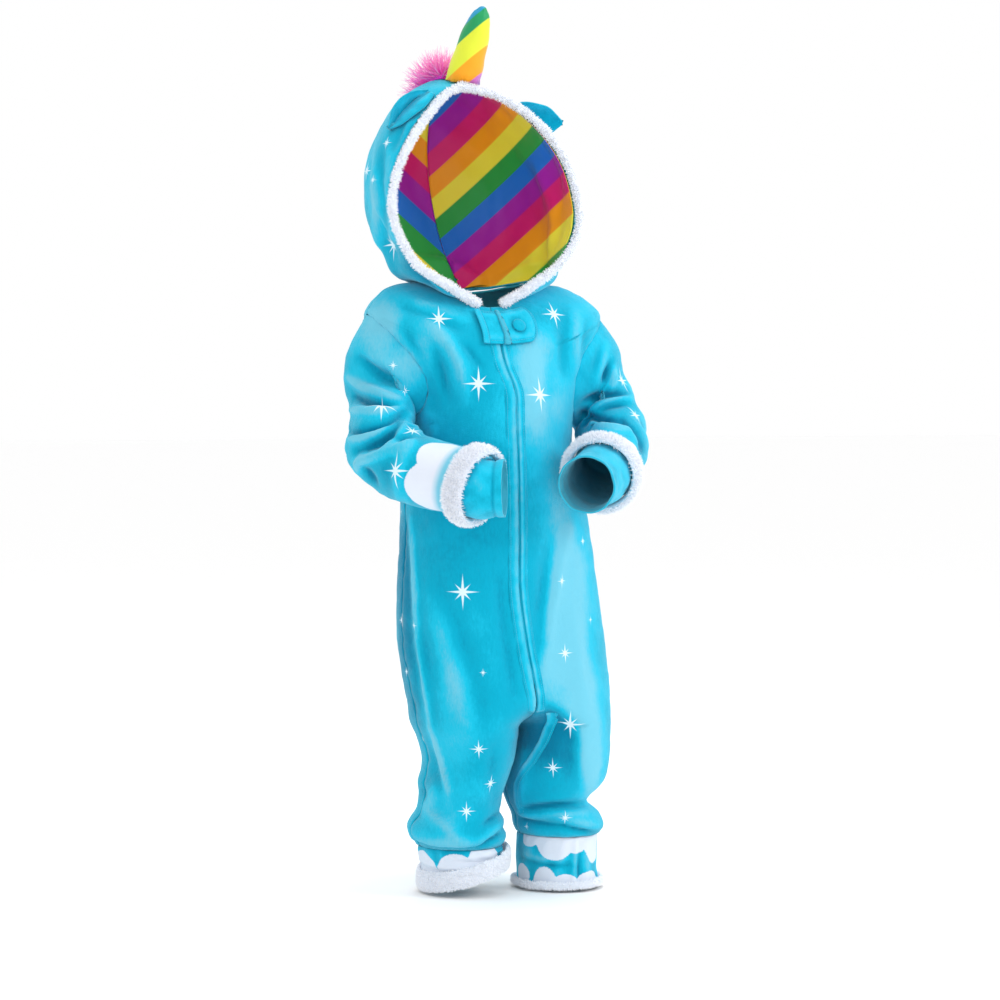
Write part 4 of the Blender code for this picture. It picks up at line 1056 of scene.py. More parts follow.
def fur_group():
    """A Geometry Nodes group that scatters curved tapering tufts over a surface."""
    inputs = [
        GEOMETRY,
        ("Density", "NodeSocketFloat"),
        ("Length", "NodeSocketFloat"),
        ("Width", "NodeSocketFloat"),
        ("Lean", "NodeSocketFloat"),
        ("Curl", "NodeSocketFloat"),
        ("Sides", "NodeSocketInt"),
        ("Seed", "NodeSocketInt"),
        ("Material", "NodeSocketMaterial"),
    ]
    group, start, end = node_group("tufts", inputs, [GEOMETRY], "GeometryNodeTree")
    wires = Wiring(group)
    given = start.outputs

    def draw(low, high, seed, kind="FLOAT"):
        """A random value for each tuft."""
        first, result = (0, 0) if kind == "FLOAT_VECTOR" else (2, 1)
        limits = {first: low, first + 1: high, "Seed": seed}
        return wires.add("FunctionNodeRandomValue", limits, data_type=kind).outputs[result]

    def keep(geometry, name, value):
        """The geometry with a number kept at each of its points."""
        inputs = {"Geometry": geometry, "Name": name, "Value": value}
        kind = "GeometryNodeStoreNamedAttribute"
        return wires.add(kind, inputs, data_type="FLOAT", domain="POINT").outputs[0]

    bare = wires.add("GeometryNodeInputNamedAttribute", {"Name": "bare"}, data_type="FLOAT")
    limits = {"A": bare.outputs["Attribute"], "B": 0.5}
    grows = wires.add("FunctionNodeCompare", limits, data_type="FLOAT", operation="LESS_THAN")
    inputs = {"Mesh": given["Geometry"], "Density": given["Density"], "Seed": given["Seed"]}
    points = wires.add("GeometryNodeDistributePointsOnFaces", inputs)
    wires.feed(points.inputs["Selection"], grows.outputs["Result"])

    inputs = {"Vertices": given["Sides"], "Side Segments": 3, "Radius Top": 0.06, "Radius Bottom": 0.5}
    cone = wires.add("GeometryNodeMeshCone", inputs | {"Depth": 1.0}, fill_type="NONE")
    place = wires.add("GeometryNodeInputPosition").outputs[0]
    height = wires.add("ShaderNodeSeparateXYZ", {0: place}).outputs[2]
    bend = wires.maths("MULTIPLY", wires.maths("MULTIPLY", height, height), given["Curl"])
    offset = wires.add("ShaderNodeCombineXYZ", {0: bend}).outputs[0]
    bent = wires.add("GeometryNodeSetPosition", {"Geometry": cone.outputs["Mesh"], "Offset": offset})
    tuft = keep(bent.outputs[0], "tip", height)

    spots = keep(points.outputs["Points"], "tone", draw(0.0, 1.0, 3))
    any_way = draw((-1, -1, -3.1), (1, 1, 3.1), 5, "FLOAT_VECTOR")
    tilt = wires.add("ShaderNodeVectorMath", {0: any_way, "Scale": given["Lean"]}, operation="SCALE")
    turned = wires.add("FunctionNodeEulerToRotation", {0: tilt.outputs[0]})
    turns = {0: points.outputs["Rotation"], 1: turned.outputs[0]}
    rotate = wires.add("FunctionNodeRotateRotation", turns, rotation_space="LOCAL")
    tall = wires.maths("MULTIPLY", given["Length"], draw(0.65, 1.25, 8))
    size = wires.add("ShaderNodeCombineXYZ", {0: given["Width"], 1: given["Width"], 2: tall})
    fur = copies(wires, spots, tuft, rotate.outputs[0], size.outputs[0])
    joined = wires.add("GeometryNodeJoinGeometry")
    for part in (given["Geometry"], fur):
        wires.feed(joined.inputs[0], part)
    end_group(wires, end, joined.outputs[0], given["Material"])
    return group


def made_plain(piece, group, values):
    """Runs a Geometry Nodes group on a piece with these inputs and keeps the result as its mesh."""
    named = {item.name: item.identifier for item in group.interface.items_tree if item.in_out == "INPUT"}
    step = piece.modifiers.new(group.name, "NODES")
    step.node_group = group
    for name, value in values.items():
        step[named[name]] = value
    ready = piece.evaluated_get(bpy.context.evaluated_depsgraph_get())
    mesh = bpy.data.meshes.new_from_object(ready)
    piece.modifiers.remove(step)
    old = piece.data
    piece.data = mesh
    bpy.data.meshes.remove(old)
    mesh.name = piece.name


def solid_grid(name, points, finish, ends, bare=None):
    """A closed body from rings of points: joined end to end, or with a flat face on both ends. No fur
    grows where bare is 1."""
    rows, columns = points.shape[:2]
    faces = []
    for i in range(rows if ends == "joined" else rows - 1):
        for j in range(columns):
            k, below = (j + 1) % columns, (i + 1) % rows
            faces.append((i * columns + j, i * columns + k, below * columns + k, below * columns + j))
    if ends == "flat":
        faces += [tuple(range(columns)), tuple(range((rows - 1) * columns, rows * columns))]
    mesh = bpy.data.meshes.new(name)
    mesh.from_pydata((points.reshape(-1, 3) * MM).tolist(), [], faces)
    mesh.materials.append(finish)
    if bare is not None:
        add_mark(mesh, "bare", bare + np.zeros((rows, columns)))
    return smooth_piece(name, mesh)


def fur_material(name, root, tips, tone):
    """Fur that is darker at its roots, with tufts that differ a little."""
    settings = {"Roughness": 0.9, "Specular IOR Level": 0.1, "Sheen Weight": 0.3, "Sheen Roughness": 0.5}
    made, wires, shader = new_material(name, settings)
    along = wires.step(wires.mark("tip"), 0.0, 0.8)
    colour = wires.mix(along, root, tips)
    colour = wires.mix(wires.maths("MULTIPLY", wires.mark("tone"), 0.35), colour, tone)
    wires.feed(shader.inputs["Base Color"], colour)
    return made


tufts = fur_group()
plush = fur_material("plush", (0.83, 0.87, 0.95), (0.95, 0.96, 0.99), (0.86, 0.90, 0.97))
PLUSH_TUFTS = {"Density": 800000.0, "Length": 0.0036, "Width": 0.0012, "Lean": 0.6, "Curl": 0.6, "Sides": 3}


def furry(piece, node, values, seed):
    made_plain(piece, tufts, values | {"Seed": seed, "Material": piece.data.materials[0]})
    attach(piece, "root")
    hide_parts(node)


def tube_points(centres, radii, segments):
    """Rings of the given radii round a path."""
    tangent = unit(np.gradient(centres, axis=0))
    level = unit(np.cross(tangent, [0.0, 0.0, 1.0]))
    up = np.cross(level, tangent)
    turn = full_turn(segments)[None, :, None]
    radii = np.asarray(radii, float)[:, None, None]
    return centres[:, None] + radii * (level[:, None] * np.cos(turn) + up[:, None] * np.sin(turn))


def padded_ring(centre, axis, inner, outer, length, segments, across):
    """Points of a padded ring round an axis, with an oval section."""
    level = unit(np.cross(axis, [0.0, 0.0, 1.0]))
    up = np.cross(level, axis)
    turn = full_turn(segments)[:, None, None]
    section = full_turn(across)[None, :, None]
    radius = (inner + outer) / 2 + (outer - inner) / 2 * np.cos(section)
    flat = level * np.cos(turn) + up * np.sin(turn)
    return centre + radius * flat + axis * (length / 2) * np.sin(section)


FUR_INSET = 2.6  # the base stands this far inside the tips of the plush
WRIST_CUT = {RIGHT: ((0.203, 0.06), 0.0098), LEFT: ((0.203, 0.075), 0.0134)}

for side in (RIGHT, LEFT):
    middle, away = sleeve_end(side)
    inner = WRIST_RADII[0] + 2 * SEAM_GAP
    centre = middle + away * (FUR_CUFF_LENGTH / 2 * math.sin(math.radians(60)) + LAID_ON)
    outer = inner + FUR_CUFF_THICK - FUR_INSET
    ring = padded_ring(centre, away, inner, outer, FUR_CUFF_LENGTH - FUR_INSET, 72, 20)
    lumps = unevenness(ring, 14, 3.3 + side)[..., None]
    ring = ring + out_of(ring, True) * lumps * 0.9
    inward = np.cos(full_turn(20)) < -0.25
    cuff = solid_grid(f"plush_cuff_{WORD[side]}", ring, plush, "joined", inward)
    furry(cuff, f"fur_cuff_{WORD[side]}", PLUSH_TUFTS, 11 + side)

    opening = np.array([WRISTS[side][name][0] for name in ("x", "y", "z")])
    under_fur = [middle + away * FUR_CUFF_LENGTH * share for share in (0.08, 0.5, 0.95)]
    corners = np.array([*under_fur, under_fur[-1] * 0.45 + opening * 0.55, opening])
    at = np.linspace(0, 4, 40)
    path = np.stack([through(corners[:, i], at) for i in range(3)], axis=-1)
    wrist = tube_points(path, through(WRIST_RADII, at), 72)
    along = run_along(wrist, 0)
    from_end = along[-1:] - along
    ripple = unevenness(wrist, 12, 8.8 + side)
    lift = 1.1 * ripple - 0.7 * np.exp(-(((from_end - 9) / 1.3) ** 2))
    lift += 0.4 * np.exp(-((from_end - 4) ** 2) / 8)
    wrist = wrist + out_of_tube(wrist) * lift[..., None]
    # Painted light and shade: lighter where the ripples bulge, painted shade in the groove 9 mm from the
    # end.
    marks = {"painted_light_and_mottle": 0.35 + 0.6 * ripple - 0.8 * np.exp(-(((from_end - 9) / 1.5) ** 2))}
    inner_cuff = cloth_piece(f"inner_cuff_{WORD[side]}", wrist, velour, marks)
    declare(inner_cuff, f"wrist_cuff_{WORD[side]}", "velour", *WRIST_CUT[side], "hung")


# Ankles. Below each leg a printed band of clouds, gathered a little, and a white plush hem; the
# left hem is turned up under the band.

BAND_COLUMNS = "z centre_x centre_y half_width depth tilt"
ANKLE_BANDS = {
    RIGHT: table(BAND_COLUMNS, [
        (-566.7, -22, -8, 42, 49, 0),
        (-573, -20, -8, 43.5, 50, 0.08),
        (-579, -19, -8, 42, 48.5, 0.15),
        (-585, -18, -8, 42.5, 49, 0.22),
        (-590, -17, -8, 41, 48, 0.28),
    ]),
    LEFT: table(BAND_COLUMNS, [
        (-558.7, 89, -10, 41, 48, 0),
        (-570, 88, -10, 42, 49, 0),
        (-583, 88, -10, 42, 49, 0),
        (-596, 88, -10, 41, 48, 0.01),
        (-609, 89, -10, 42, 49, 0.02),
    ]),
}
TRIM_THICK = 6
TRIM_TALL = {RIGHT: 22, LEFT: 9}  # the left one is turned up under the band

ANKLE_CLOUDS = {
    RIGHT: table(CLOUD_COLUMNS, [
        (-52, -593, 23, 23),
        (-20, -588, 21, 18),
        (10, -582, 20, 24),
        (-78, -590, 18, 22),
    ]),
    LEFT: table(CLOUD_COLUMNS, [
        (57, -562, 13, 9),
        (82, -561, 21, 21),
        (104, -557, 17, 17),
        (123, -563, 17, 25),
    ]),
}
BAND_FOLDS = {
    RIGHT: table(FOLD_COLUMNS, [
        (-66, -581, -8, -585, 1.5, 2.6, 2.0),
        (-66, -586, -14, -590, 2, 2.2, -2.2),
        (-30, -577, 14, -578, 1, 2.4, -1.6),
    ]),
    LEFT: table(FOLD_COLUMNS, [
        (105, -556, 103, -614, 1, 2.6, 2.4),
        (110, -556, 109, -614, 1, 2.0, -2.4),
        (115, -556, 116, -614, -1, 2.6, 2.2),
        (46, -584, 98, -588, 2, 2.8, -2.4),
        (52, -578, 96, -581, 2, 3.0, 1.6),
    ]),
}
BAND_CUT = {RIGHT: ((0.30, 0.037), 0.0078), LEFT: ((0.292, 0.054), 0.0149)}
HEM_LOBES = table(CLOUD_COLUMNS, [
    (50, -601, 13, 12),
    (72, -608, 14, 18),
    (94, -612, 15, 12),
    (121, -611, 19, 13),
])
HEM_TUFTS = PLUSH_TUFTS | {"Length": 0.0019, "Width": 0.0014}

for side in (RIGHT, LEFT):
    band = ANKLE_BANDS[side]
    last = len(band["z"]) - 1
    turn = full_turn(120)

    def band_point(at, out, up):
        """One ring of the band, moved out and up."""
        x = (through(band["half_width"], at) + out) * np.cos(turn)
        y = (through(band["depth"], at) + out) * np.sin(turn)
        z = through(band["z"], at) + through(band["tilt"], at) * x + up
        return np.stack([through(band["centre_x"], at) + x, through(band["centre_y"], at) + y, z], axis=-1)

    rows = np.linspace(0, last, 26)
    plain = np.array([band_point(at, 0, 0) for at in rows])
    outward = out_of_tube(plain)
    around, along = run_along(plain, 1), run_along(plain, 0)
    from_end = along[-1:] - along
    ripple = unevenness(plain * [1, 1, 0.5], 11, 4.7 + side)
    gathers = puckers(around, along, side + 2.0, 0.8)
    lift = ripple + gathers + puckers(around, from_end, side + 4.0, 0.5)
    facing = np.clip(0.5 + 2 * (outward @ VIEW_BACK), 0, 1)
    folds = fold_height(BAND_FOLDS[side], plain) * facing
    lift = (lift + folds) * np.clip(along / 3, 0.1, 1) * np.clip(from_end / 4, 0.1, 1)
    points = plain + outward * lift[..., None]
    cloud = lobes(plain, outward, ANKLE_CLOUDS[side])
    hidden = np.clip(-(outward @ VIEW_BACK) * 4 + 0.4, 0, 1)
    wave = 9 + 5 * np.abs(np.sin(around / 9.5 + side)) - np.abs(along - along[-1:] * 0.45)
    cloud = np.maximum(cloud, wave - 30 * (1 - hidden))
    if side == LEFT:
        cloud = np.maximum(cloud, lobes(plain, outward, HEM_LOBES))
        cloud = np.maximum(cloud, 5 + 6 * np.abs(np.sin(around / 12)) - from_end - 30 * (1 - hidden))
    # Painted light and shade: lighter where the cloth bulges and on fold ridges, darker in fold troughs,
    # painted shade along the top edge under the leg.
    marks = {"painted_light_and_mottle": 0.2 + 0.8 * ripple - np.exp(-along / 3) + 0.5 * folds, "cloud": cloud + 2}
    cuff = cloth_piece(f"cloud_band_{WORD[side]}", points, velour, marks)
    declare(cuff, f"ankle_band_{WORD[side]}", "velour", *BAND_CUT[side], "hung")

    swell = (band["half_width"][2:] - band["half_width"][-1]).max()
    section = full_turn(20)
    thick = TRIM_THICK - 1.2
    out = LAID_ON + swell + thick / 2 * (1 + np.cos(section))
    up = (TRIM_TALL[side] - 2) / 2 * np.sin(section)
    ring = np.array([band_point(float(last), o, u) for o, u in zip(out, up)]).transpose(1, 0, 2)
    ring = ring + out_of(ring, True) * 0.7 * unevenness(ring, 16, 6.1 + side)[..., None]
    hem = solid_grid(f"plush_hem_{WORD[side]}", ring, plush, "joined", np.cos(section) < -0.25)
    furry(hem, f"ankle_trim_{WORD[side]}", HEM_TUFTS, 21 + side)


# Hood. Two velour sides with a seam over the crown, lined with striped satin, and a white plush roll
# round the face opening.

# The rim of the hood's opening from its peak down to the neck, and its half widths on each side.
RIM = table("y z half_right half_left", [
    (-26, 221, 0, 0),
    (-29, 213, 18, 36),
    (-35, 196, 38, 64),
    (-43, 172, 61, 85),
    (-50, 143, 83, 99),
    (-55, 112, 98, 104),
    (-59, 84, 103, 103),
    (-62, 58, 97, 91),
    (-63, 34, 83, 68),
    (-63, 14, 52, 37),
    (-58, -6, 11, 11),
])
# Arcs of the hood from the rim back to the nape, each from the crown seam down to the neckline, by
# the angle where it meets the neckline and how far its middle stands out.
HOOD = table("crown_y crown_z neck_angle bulge", [
    (-26, 221, -79, 97),
    (-4, 229, -52, 85),
    (26, 231, -24, 75),
    (59, 218, 2, 69),
    (86, 189, 26, 62),
    (101, 148, 47, 53),
    (99, 103, 64, 40),
    (83, 58, 79, 24),
    (54, 22, 90, 0),
])
HOOD_ROWS = 8
FULLNESS = (1.0, 1.0, 1.02, 1.06, 1.03, 0.91, 0.80, 1.05, 1.5)  # of an arc's bulge, from crown to neck
HOOD_LEAN = -0.115  # the wearer's head leans to the right by this share of its height
RIM_SHARE = 0.34  # of the way back over which the rim's own shape fades
RIM_FOOT = 0.955  # where the trim ends, above the neckline
TRIM_RADIUS = 5.5


def neckline(side, angle):
    """Points just above the neckline of the body."""
    return body_ring(side)(np.zeros(np.shape(angle)), angle) + [0, 0, 2 * LAID_ON]


def rim_points(side):
    """The rim from its peak to the neckline."""
    half = RIM["half_right"] if side == RIGHT else RIM["half_left"]
    x = HOOD_LEAN * RIM["z"] + side * (half + SEAM_GAP / 2)
    points = np.stack([x, RIM["y"], RIM["z"]], axis=-1)
    points[-1] = neckline(side, HOOD["neck_angle"][0])
    return points


def hood_arc(side):
    """The plain surface of one side of the hood, by row back from the rim and share down from the
    crown."""
    rim = rim_points(side)

    def arc(at, share):
        turn = math.pi * np.clip(share, 0, 1)
        crown_z = through(HOOD["crown_z"], at)
        crown_x = HOOD_LEAN * crown_z + side * SEAM_GAP / 2
        crown = np.stack([crown_x, through(HOOD["crown_y"], at), crown_z], axis=-1)
        neck = neckline(side, through(HOOD["neck_angle"], at))
        out = np.sin(turn) ** 0.9 * through(HOOD["bulge"], at) * through(FULLNESS, share * HOOD_ROWS)
        points = crown + (neck - crown) * ((1 - np.cos(turn)) / 2)[..., None]
        points[..., 0] += side * out
        return points

    def surface(at, share):
        at, share = np.broadcast_arrays(np.asarray(at, float), np.asarray(share, float))
        spot = share * (len(rim) - 1)
        edge = np.stack([through(rim[:, i], spot) for i in range(3)], axis=-1)
        fade = np.clip(1 - at / HOOD_ROWS / RIM_SHARE, 0, 1.2) ** 2
        return arc(at, share) + fade[..., None] * (edge - arc(0 * at, share))

    return surface


HOOD_FOLDS = table(
    "share_a row_a share_b row_b half_width height",
    [(0.30, 1.2, 0.62, 1.7, 0.05, 4), (0.34, 2.6, 0.75, 2.2, 0.05, -5), (0.5, 4.0, 0.9, 2.9, 0.06, 5)],
)


def hood_points(side, at, share, lift):
    """Points of one side of the hood with its largest folds, moved out by lift and kept off the seam."""
    at, share = np.broadcast_arrays(at, share)
    height = np.zeros(at.shape)
    for share_a, row_a, share_b, row_b, half_width, rise in each_row(HOOD_FOLDS):
        line = (share_a, row_a / HOOD_ROWS, share_b, row_b / HOOD_ROWS)
        inside, beyond, off = beside_line(share, at / HOOD_ROWS, *line, 0.02)
        taper = np.sin(math.pi * (0.08 + 0.84 * inside)) ** 0.8
        height += rise * taper * np.exp(-((off / half_width) ** 2) - (beyond / half_width) ** 2)
    points = moved_out(hood_arc(side), at, share, side * (height + lift))
    seam = HOOD_LEAN * points[..., 2]
    points[..., 0] = seam + side * np.maximum(side * (points[..., 0] - seam), SEAM_GAP / 2)
    return points


def behind_trim(side, share):
    """For each share, the row where the hood is just clear of the trim."""
    line = rim_line(120, 1.0)
    rows = np.linspace(0, 2, 81)
    points = hood_arc(side)(rows[:, None], share[None, :])
    away = np.linalg.norm(points[:, :, None] - line, axis=-1).min(axis=-1)
    return rows[np.argmax(away > TRIM_RADIUS + 4 * SEAM_GAP, axis=0)]


def rim_line(count, foot=RIM_FOOT):
    """The rim from the right of the neck over the peak to its left, down to this share of the way."""
    share = np.linspace(foot, 0.0, count)
    right = hood_arc(RIGHT)(np.zeros(count), share)
    left = hood_arc(LEFT)(np.zeros(count), share[::-1])
    return np.vstack([right[:-1], (right[-1:] + left[:1]) / 2, left[1:]])


def tube_across(line, radius, segments):
    """Rings round a line that turns every way, each facing the middle of the opening."""
    tangent = unit(np.gradient(line, axis=0))
    outward = line - line.mean(axis=0)
    outward = unit(outward - tangent * (outward * tangent).sum(axis=-1, keepdims=True))
    aside = np.cross(tangent, outward)
    turn = full_turn(segments)[None, :, None]
    return line[:, None] + radius * (outward[:, None] * np.cos(turn) + aside[:, None] * np.sin(turn))


HOOD_SEEN = table(FOLD_COLUMNS, [
    (-96, 158, -90, 74, 3, 5, -4.5),
    (-103, 128, -101, 58, -2, 6, 4),
    (-84, 150, -80, 44, 2, 6, 3.5),
    (-72, 178, -84, 150, 0, 3, -3),
    (-64, 186, -76, 160, 0, 3, 2.5),
    (-90, 60, -48, 12, -5, 6, -4.5),
    (-78, 70, -40, 22, -4, 6, 4),
    (-72, 36, -30, -4, -3, 5, -3.5),
    (-60, 30, -22, -2, -3, 4, 3),
])
HOOD_BACK = table(FOLD_COLUMNS, [
    (-70, 60, 0, 34, -7, 8, 4),
    (-66, 44, 4, 22, -6, 7, -5),
    (96, 60, 30, 34, 7, 8, 4),
    (90, 44, 26, 22, 6, 7, -5),
    (60, 190, 84, 110, 5, 9, 3),
    (-60, 180, -70, 110, -5, 9, 3),
])
HOOD_STARS = table(STAR_COLUMNS, [
    (-91, 163, 7),
    (-112, 136, 10),
    (-103, 121, 5),
    (-86, 56, 15),
    (-61, 17, 10),
])
STRIPE_CYCLE = 155  # mm up the hood for six slanting stripes
LINING_COLOURS = (
    (0.02, 0.38, 0.07),
    (0.95, 0.86, 0.06),
    (1.0, 0.38, 0.01),
    (0.72, 0.01, 0.20),
    (0.40, 0.01, 0.46),
    (0.01, 0.18, 0.78),
)
HORN_COLOURS = (
    (0.62, 0.18, 0.56),
    (0.95, 0.37, 0.01),
    (0.72, 0.78, 0.04),
    (0.01, 0.30, 0.10),
    (0.01, 0.28, 0.50),
)


def satin_material(name, colours, stops, soft, repeats):
    """Striped satin: a colour for each stretch of the phase mark, with slightly blurred borders."""
    settings = {"Roughness": 0.45, "Specular IOR Level": 0.28, "Sheen Weight": 0.08}
    made, wires, shader = new_material(name, settings)
    phase = wires.mark("phase")
    if repeats:
        phase = wires.maths("FRACT", phase)
    place = wires.add("ShaderNodeTexCoord").outputs["Object"]
    colour = wires.mix(0.0, colours[0], colours[0])
    for shade, stop in zip(colours[1:], stops[1:]):
        colour = wires.mix(wires.step(phase, stop - soft, stop + soft), colour, shade)
    wires.feed(shader.inputs["Base Color"], colour)
    wires.feed(shader.inputs["Normal"], wires.bump(wires.noise(place, 70, 3, 0.5), 0.25, 0.0015))
    return made


lining_satin = satin_material("satin", LINING_COLOURS, [i / 6 for i in range(6)], 0.008, True)
horn_satin = satin_material("horn_satin", HORN_COLOURS, (0, 231, 253.5, 278.5, 292), 0.9, False)


def lining_phase(points, side):
    """The place in the cycle of stripes, which slant up one side of the hood and down the other."""
    across, up = as_seen(points)
    if side == LEFT:
        return (up - 0.9 * across + 51) / STRIPE_CYCLE
    return 0.25 - (up + 0.9 * across + 17) / STRIPE_CYCLE


def hood_relief(side, at, share, start):
    """The height of the hood's seen and hidden folds, which die out at its seams and the trim."""
    plain = hood_points(side, at, share, 0.0)
    outward = out_of(plain, False) * side
    seen = np.clip(0.5 + (outward @ VIEW_BACK) * 1.6, 0, 1)
    height = seen * fold_height(HOOD_SEEN, plain) + (1 - seen) * fold_height(HOOD_BACK, plain)
    edge = np.clip(share / 0.08, 0, 1) * np.clip((1 - share) / 0.06, 0, 1)
    return plain, outward, seen, height * edge * np.clip((at - start) / 0.4, 0, 1)


def hood_grid(side, foot, count):
    """Rows and shares of one side of the hood behind the trim, down to this share, and the first row."""
    shares = np.linspace(0, foot, count)
    start = behind_trim(side, shares)
    at = start + (HOOD_ROWS - start) * np.linspace(0, 1, count)[:, None]
    return at, shares + 0 * at, start


LINING_FOOT = 0.97  # share of the way down at which the lining ends

for side in (RIGHT, LEFT):
    at, full, start = hood_grid(side, 1, 84)
    plain, outward, seen, height = hood_relief(side, at, full, start)
    along, around = run_along(plain, 0), run_along(plain, 1)
    detail = seam_dip(around) + puckers(along, around, side + 1.1, 0.4)
    detail += 0.6 * seam_dip(around[:, -1:] - around) + puckers(along, around[:, -1:] - around, side, 0.6)
    detail += 0.9 * unevenness(plain, 24, 9.7 + side) + 0.5 * unevenness(plain, 9, 4.4 + side)
    points = hood_points(side, at, full, height + detail * np.clip((1 - full) / 0.03, 0.2, 1))
    stars = star_marks(plain, outward, HOOD_STARS)
    hidden = (seen < 0.3) & (full > 0.06) & (full < 0.93) & (at < 7.3)
    scattered_stars(stars, plain, outward, hidden, 80 + side)
    # Painted light and shade: lighter on fold ridges, darker in troughs, plus the painted patches and random
    # mottling.
    marks = {"painted_light_and_mottle": np.clip(height / 4, -1.3, 1.0) + mottle_and_painted_light(plain), "star": stars}
    hood = cloth_piece(f"hood_side_{WORD[side]}", points, velour, marks, (side, 0, 0))
    declare(hood, f"hood_{WORD[side]}", "velour", (0.33, 0.315), 0.0495, "hung")

    at, full, start = hood_grid(side, LINING_FOOT, 70)
    plain, _, _, height = hood_relief(side, at, full, start)
    ripple = np.clip(unevenness(plain * [1, 1, 0.6], 20, 1.9 + side), -1, 0.2)
    off_rim = np.clip((LINING_FOOT - full) / 0.06, 0, 1)
    fade = np.clip(full / 0.08, 0, 1) * off_rim * np.clip((at - start) / 0.4, 0, 1)
    under = CLOTH + LAID_ON + SATIN + (1.4 - 0.6 * fade) * off_rim
    deep = np.minimum(height, 0) - under + 2.6 * (ripple - 0.2) * fade
    points = hood_points(side, at, full, deep)
    marks = {"phase": lining_phase(points, side)}
    name = f"satin_side_{WORD[side]}"
    satin_side = cloth_piece(name, points, lining_satin, marks, (-side, 0, 0), SATIN)
    declare(satin_side, f"lining_{WORD[side]}", "satin", (0.315, 0.305), 0.0455, "hung")

line = rim_line(300, 0.99)
widen = 1 + 0.25 * np.clip((40 - line[:, 2]) / 40, 0, 1)[:, None, None]
roll = tube_across(line, (TRIM_RADIUS - FUR_INSET) * widen, 18)
roll = roll + out_of(roll, True) * 0.8 * unevenness(roll, 13, 2.6)[..., None]
trim = solid_grid("plush_roll", roll, plush, "flat")
furry(trim, "hood_trim", PLUSH_TUFTS | {"Length": 0.0031}, 31)


# Ears, horn and mane on the crown. The ears are folded leaves of two layers, the horn is stuffed
# satin with slanting stripes, and the mane is a tuft of long pink strands.

HORN_RADII = (17.5, 17.8, 17.2, 16, 14.2, 11.8, 8.6, 4.5)
HORN_HEIGHTS = (0, 0.08, 0.25, 0.45, 0.65, 0.82, 0.94, 1.0)
HORN_FOOT = (-17, -6)
HORN_TIP = (-9, -44, 300)

MANE_START = 1.62  # rows of the hood's table along the crown
MANE_END = 3.7
MANE_HEIGHT = 30
MANE_HALF_WIDTH = 17

# Ears: foot, tip, how far the middle bows away from the hood, and the way the hollow side faces.
EAR_COLUMNS = "foot_x foot_y foot_z tip_x tip_y tip_z bow open_x open_y open_z"
EARS = {
    RIGHT: table(EAR_COLUMNS, [(-53, -10, 207, -103, -20, 176, 3, 0.14, -0.82, -0.55)]),
    LEFT: table(EAR_COLUMNS, [(25, 9, 194, 97, -4, 189, 3, -0.1, -0.95, -0.3)]),
}
EAR_ACROSS = (13, 19, 22, 21, 16, 6)  # half widths of the flat leaf from foot to tip
EAR_WALL = 3  # two layers
EAR_RISE = 2  # how much further an ear that lies on the hood stands off it past its foot
EAR_ROLL = {RIGHT: 0.75, LEFT: 0.0}  # 1 would turn the ear's full width to the photo's side


def crown_height(x, y):
    """The top of the hood and its trim near a point, from samples of both."""
    at, share = np.meshgrid(np.linspace(0.3, 5, 60), np.linspace(0, 0.35, 40), indexing="ij")
    hood = [hood_points(side, at, share, 0.0).reshape(-1, 3) for side in (RIGHT, LEFT)]
    trim = tube_across(rim_line(60), TRIM_RADIUS, 16).reshape(-1, 3)
    tops = np.vstack([*hood, trim])
    near = np.hypot(tops[:, 0] - x, tops[:, 1] - y) < 4.5
    return tops[near, 2].max()


def hollow_side(points):
    """The directions out of an ear's hollow side."""
    down, over = np.gradient(points, axis=(0, 1))
    return unit(np.cross(over, down))


def off_the_hood(side, points, along):
    """The points, with those whose outer layer is too near the hood moved straight off it."""
    at, share = np.meshgrid(np.linspace(0.1, 4, 80), np.linspace(0.0, 0.5, 80), indexing="ij")
    skin = hood_points(side, at, share, 0.0).reshape(-1, 3)
    normal = hood_points(side, at, share, 1.0).reshape(-1, 3) - skin
    flat = points.reshape(-1, 3)
    nearest = np.linalg.norm(flat[:, None] - skin, axis=-1).argmin(axis=1)
    height = ((flat - skin[nearest]) * normal[nearest]).sum(axis=-1)
    facing = (hollow_side(points).reshape(-1, 3) * normal[nearest]).sum(axis=-1)
    rise = np.repeat(EAR_RISE * np.clip(4 * along, 0, 1), points.shape[1])
    lift = np.clip(LAID_ON + EAR_WALL * np.clip(facing, 0, 1) + rise - height, 0, None)
    return (flat + normal[nearest] * lift[:, None]).reshape(points.shape)


